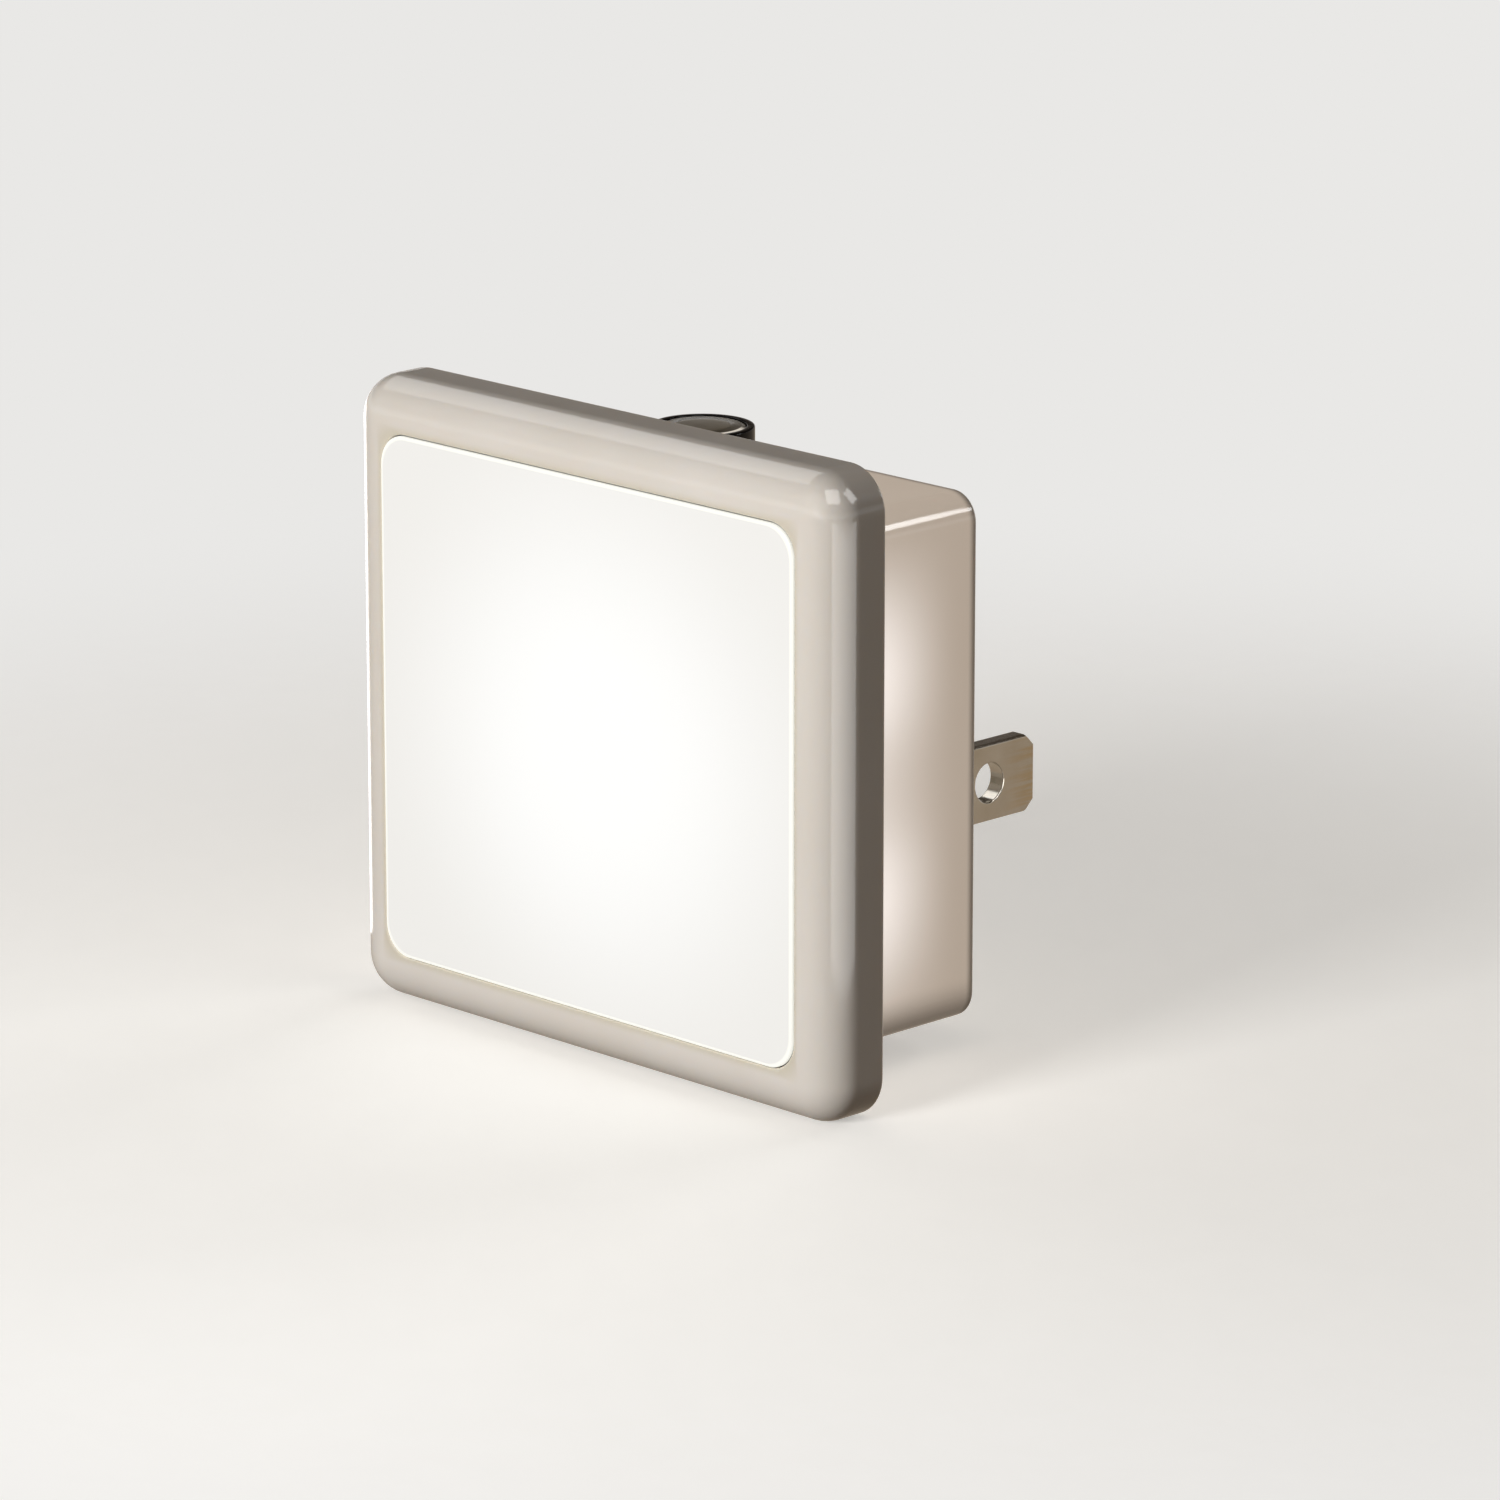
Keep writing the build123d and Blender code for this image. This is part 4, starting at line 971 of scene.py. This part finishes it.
stageLook = {
    "floor": "#E4E2DE", "grain": "#E0DEDA", "halfSize": 4000.0, "grainMm": 3.0,
    "floorRoughness": 0.7, "lift": 0.56,  # light of its own, so that the shadows on it stay soft
    "airFrom": (50.0, 170.0),  # the floor turns into the air between these distances from the light
    "bounce": "#5A4D42",  # what the floor gives back to the object, as dark as a table in a dim room
    "air": "#E9E8E6", "shade": "#EBD5C0", "shadeStrength": 0.075,
    "mirrored": "#A89A89",  # the floor as the plastic and the metal reflect it, a warm grey
    "paleUpTo": (4.0, 13.0),  # degrees over the horizon: reflections find the pale air below this
}

floorMaterial, floorTree = newMaterial("painted board matt")
floorPlace = ownPlace(floorTree)
floorNoise = addNode(floorTree, "TexNoise", {"Vector": floorPlace, "Scale": perMetre(stageLook["grainMm"])})
floorColour = blend(floorTree, floorNoise.outputs[0], stageLook["floor"], stageLook["grain"])
floorShader = addNode(floorTree, "BsdfPrincipled", {
    "Base Color": floorColour, "Roughness": stageLook["floorRoughness"], "Specular IOR Level": 0.0,
})
floorLift = addNode(floorTree, "Emission", {"Color": floorColour, "Strength": stageLook["lift"]})
floorNear = addNode(floorTree, "AddShader", {0: floorShader.outputs[0], 1: floorLift.outputs[0]})
floorGone = ramp(floorTree, lengthOf(floorTree, floorPlace), *(end * mm for end in stageLook["airFrom"]))
inReflection = seenPlain(floorTree, "Is Glossy Ray")
farColour = blend(floorTree, inReflection, stageLook["air"], stageLook["mirrored"])
floorFar = addNode(floorTree, "Emission", {"Color": farColour, "Strength": 1.0})
floorPale = addNode(floorTree, "MixShader", {  # a reflection finds the floor without its shadows
    0: maths(floorTree, "MAXIMUM", floorGone, inReflection), 1: floorNear.outputs[0],
    2: floorFar.outputs[0],
})
floorBounce = addNode(floorTree, "BsdfDiffuse", {"Color": stageLook["bounce"]})
floorShown = addNode(floorTree, "MixShader", {
    0: seenPlain(floorTree, "Is Camera Ray", "Is Glossy Ray", "Is Transmission Ray"),
    1: floorBounce.outputs[0], 2: floorPale.outputs[0],
})
finishMaterial(floorTree, floorShown)

floorMesh = bpy.data.meshes.new("floor")
reach, floorZ = stageLook["halfSize"] * mm, cadBox[0].z
floorMesh.from_pydata(
    [(-reach, -reach, floorZ), (reach, -reach, floorZ), (reach, reach, floorZ), (-reach, reach, floorZ)],
    [], [(0, 1, 2, 3)],
)
floorMesh.materials.append(floorMaterial)
floor = bpy.data.objects.new("floor", floorMesh)
bpy.context.scene.collection.objects.link(floor)

world = bpy.data.worlds.new("pale studio air")
world.use_nodes = True
world.node_tree.nodes.clear()
bpy.context.scene.world = world
airTree = world.node_tree
wayUp = splitPlace(airTree, addNode(airTree, "TexCoord", {}).outputs["Generated"])["Z"]
palest, dimmest = (math.sin(math.radians(angle)) for angle in stageLook["paleUpTo"])
lowDown = ramp(airTree, wayUp, palest, dimmest, 1.0, 0.0)
reflected = maths(airTree, "MULTIPLY", lowDown, seenPlain(airTree, "Is Glossy Ray", "Is Transmission Ray"))
seen = maths(airTree, "MAXIMUM", reflected, seenPlain(airTree, "Is Camera Ray"))
air = addNode(airTree, "Background", {
    "Color": blend(airTree, seen, stageLook["shade"], stageLook["air"]),
    "Strength": ramp(airTree, seen, 0.0, 1.0, stageLook["shadeStrength"], 1.0, "LINEAR"),
})
addNode(airTree, "OutputWorld", {"Surface": air.outputs[0]})


def aimed(azimuth, elevation, distanceMm, targetMm):
    # a place on a sphere round the target; azimuth 0 is in front of the light, 90 on its right
    a, e = math.radians(azimuth), math.radians(elevation)
    back = Vector((math.sin(a) * math.cos(e), -math.cos(a) * math.cos(e), math.sin(e)))
    target = Vector(targetMm) * mm
    return target + back * distanceMm * mm, (-back).to_track_quat("-Z", "Y")


softboxes = {
    "keySoftbox": {
        "azimuth": 5.2, "elevation": 13, "distance": 320, "size": (107, 107), "power": 0.94, "rays": "matt",
    },
    "backSoftbox": {
        "azimuth": 178, "elevation": 10, "distance": 1300, "size": (700, 700), "power": 11.0, "rays": "matt",
    },
    "sideSoftbox": {
        "azimuth": -96, "elevation": 10, "distance": 1300, "size": (700, 700), "power": 3.0, "rays": "matt",
    },
    # the rest only give reflections: a broad sheen from the front, one on each of the panel's right,
    # left and top edges, two panes at its corner and one at the housing's top edge
    "frontSheen": {
        "azimuth": 0, "elevation": 20, "distance": 1200, "size": (1300, 1300), "power": 4.0, "rays": "gloss",
    },
    "sideSheen": {
        "azimuth": 80, "elevation": 0, "distance": 34, "size": (52, 38), "power": 0.0145, "rays": "gloss",
        "target": (26.5, -23.0, 3.0),
    },
    "leftSheen": {
        "azimuth": -115, "elevation": 0, "distance": 14, "size": (15, 46), "power": 0.0056, "rays": "gloss",
        "target": (-26.5, -23.5, 6.8),
    },
    "topSheen": {
        "azimuth": -96, "elevation": 44, "distance": 900, "size": (640, 300), "power": 0.9, "rays": "gloss",
        "target": (0, -24.0, 33.0),
    },
    "paneLeft": {
        "azimuth": 53, "elevation": 52, "distance": 80, "size": (50, 54), "power": 0.036, "rays": "gloss",
        "target": (24.5, -23.5, 32.0),
    },
    "paneRight": {
        "azimuth": 123, "elevation": 40, "distance": 80, "size": (34, 42), "power": 0.021, "rays": "gloss",
        "target": (24.5, -23.5, 32.0),
    },
    "edgePane": {
        "azimuth": 139.5, "elevation": 28, "distance": 70, "size": (16, 16), "power": 0.007, "rays": "gloss",
        "target": (16.0, -5.0, 26.3),
    },
}
for name, box in softboxes.items():
    lamp = bpy.data.lights.new(name, "AREA")
    lamp.shape, lamp.energy = "RECTANGLE", box["power"]
    lamp.size, lamp.size_y = (side * mm for side in box["size"])
    holder = bpy.data.objects.new(name, lamp)
    holder.rotation_mode = "QUATERNION"
    holder.location, holder.rotation_quaternion = aimed(
        box["azimuth"], box["elevation"], box["distance"], box.get("target", (0, -13, 6))
    )
    holder.visible_camera = False
    holder.visible_diffuse = box["rays"] != "gloss"
    holder.visible_glossy = box["rays"] != "matt"
    bpy.context.scene.collection.objects.link(holder)

cameraLook = {
    "azimuth": 45.37, "elevation": 15.10, "distance": 615.6, "target": (-7.98, 0, 1.98), "lens": 186.58,
    "sensor": 36.0, "clip": (10.0, 10000.0),
}
camera = bpy.data.objects.new("camera", bpy.data.cameras.new("camera"))
camera.data.lens, camera.data.sensor_width = cameraLook["lens"], cameraLook["sensor"]
camera.data.clip_start, camera.data.clip_end = (distance * mm for distance in cameraLook["clip"])
camera.rotation_mode = "QUATERNION"
camera.location, camera.rotation_quaternion = aimed(
    cameraLook["azimuth"], cameraLook["elevation"], cameraLook["distance"], cameraLook["target"]
)
bpy.context.scene.collection.objects.link(camera)
bpy.context.scene.camera = camera
bpy.context.scene.view_settings.view_transform = "Standard"
print("stage, lamps and camera set")
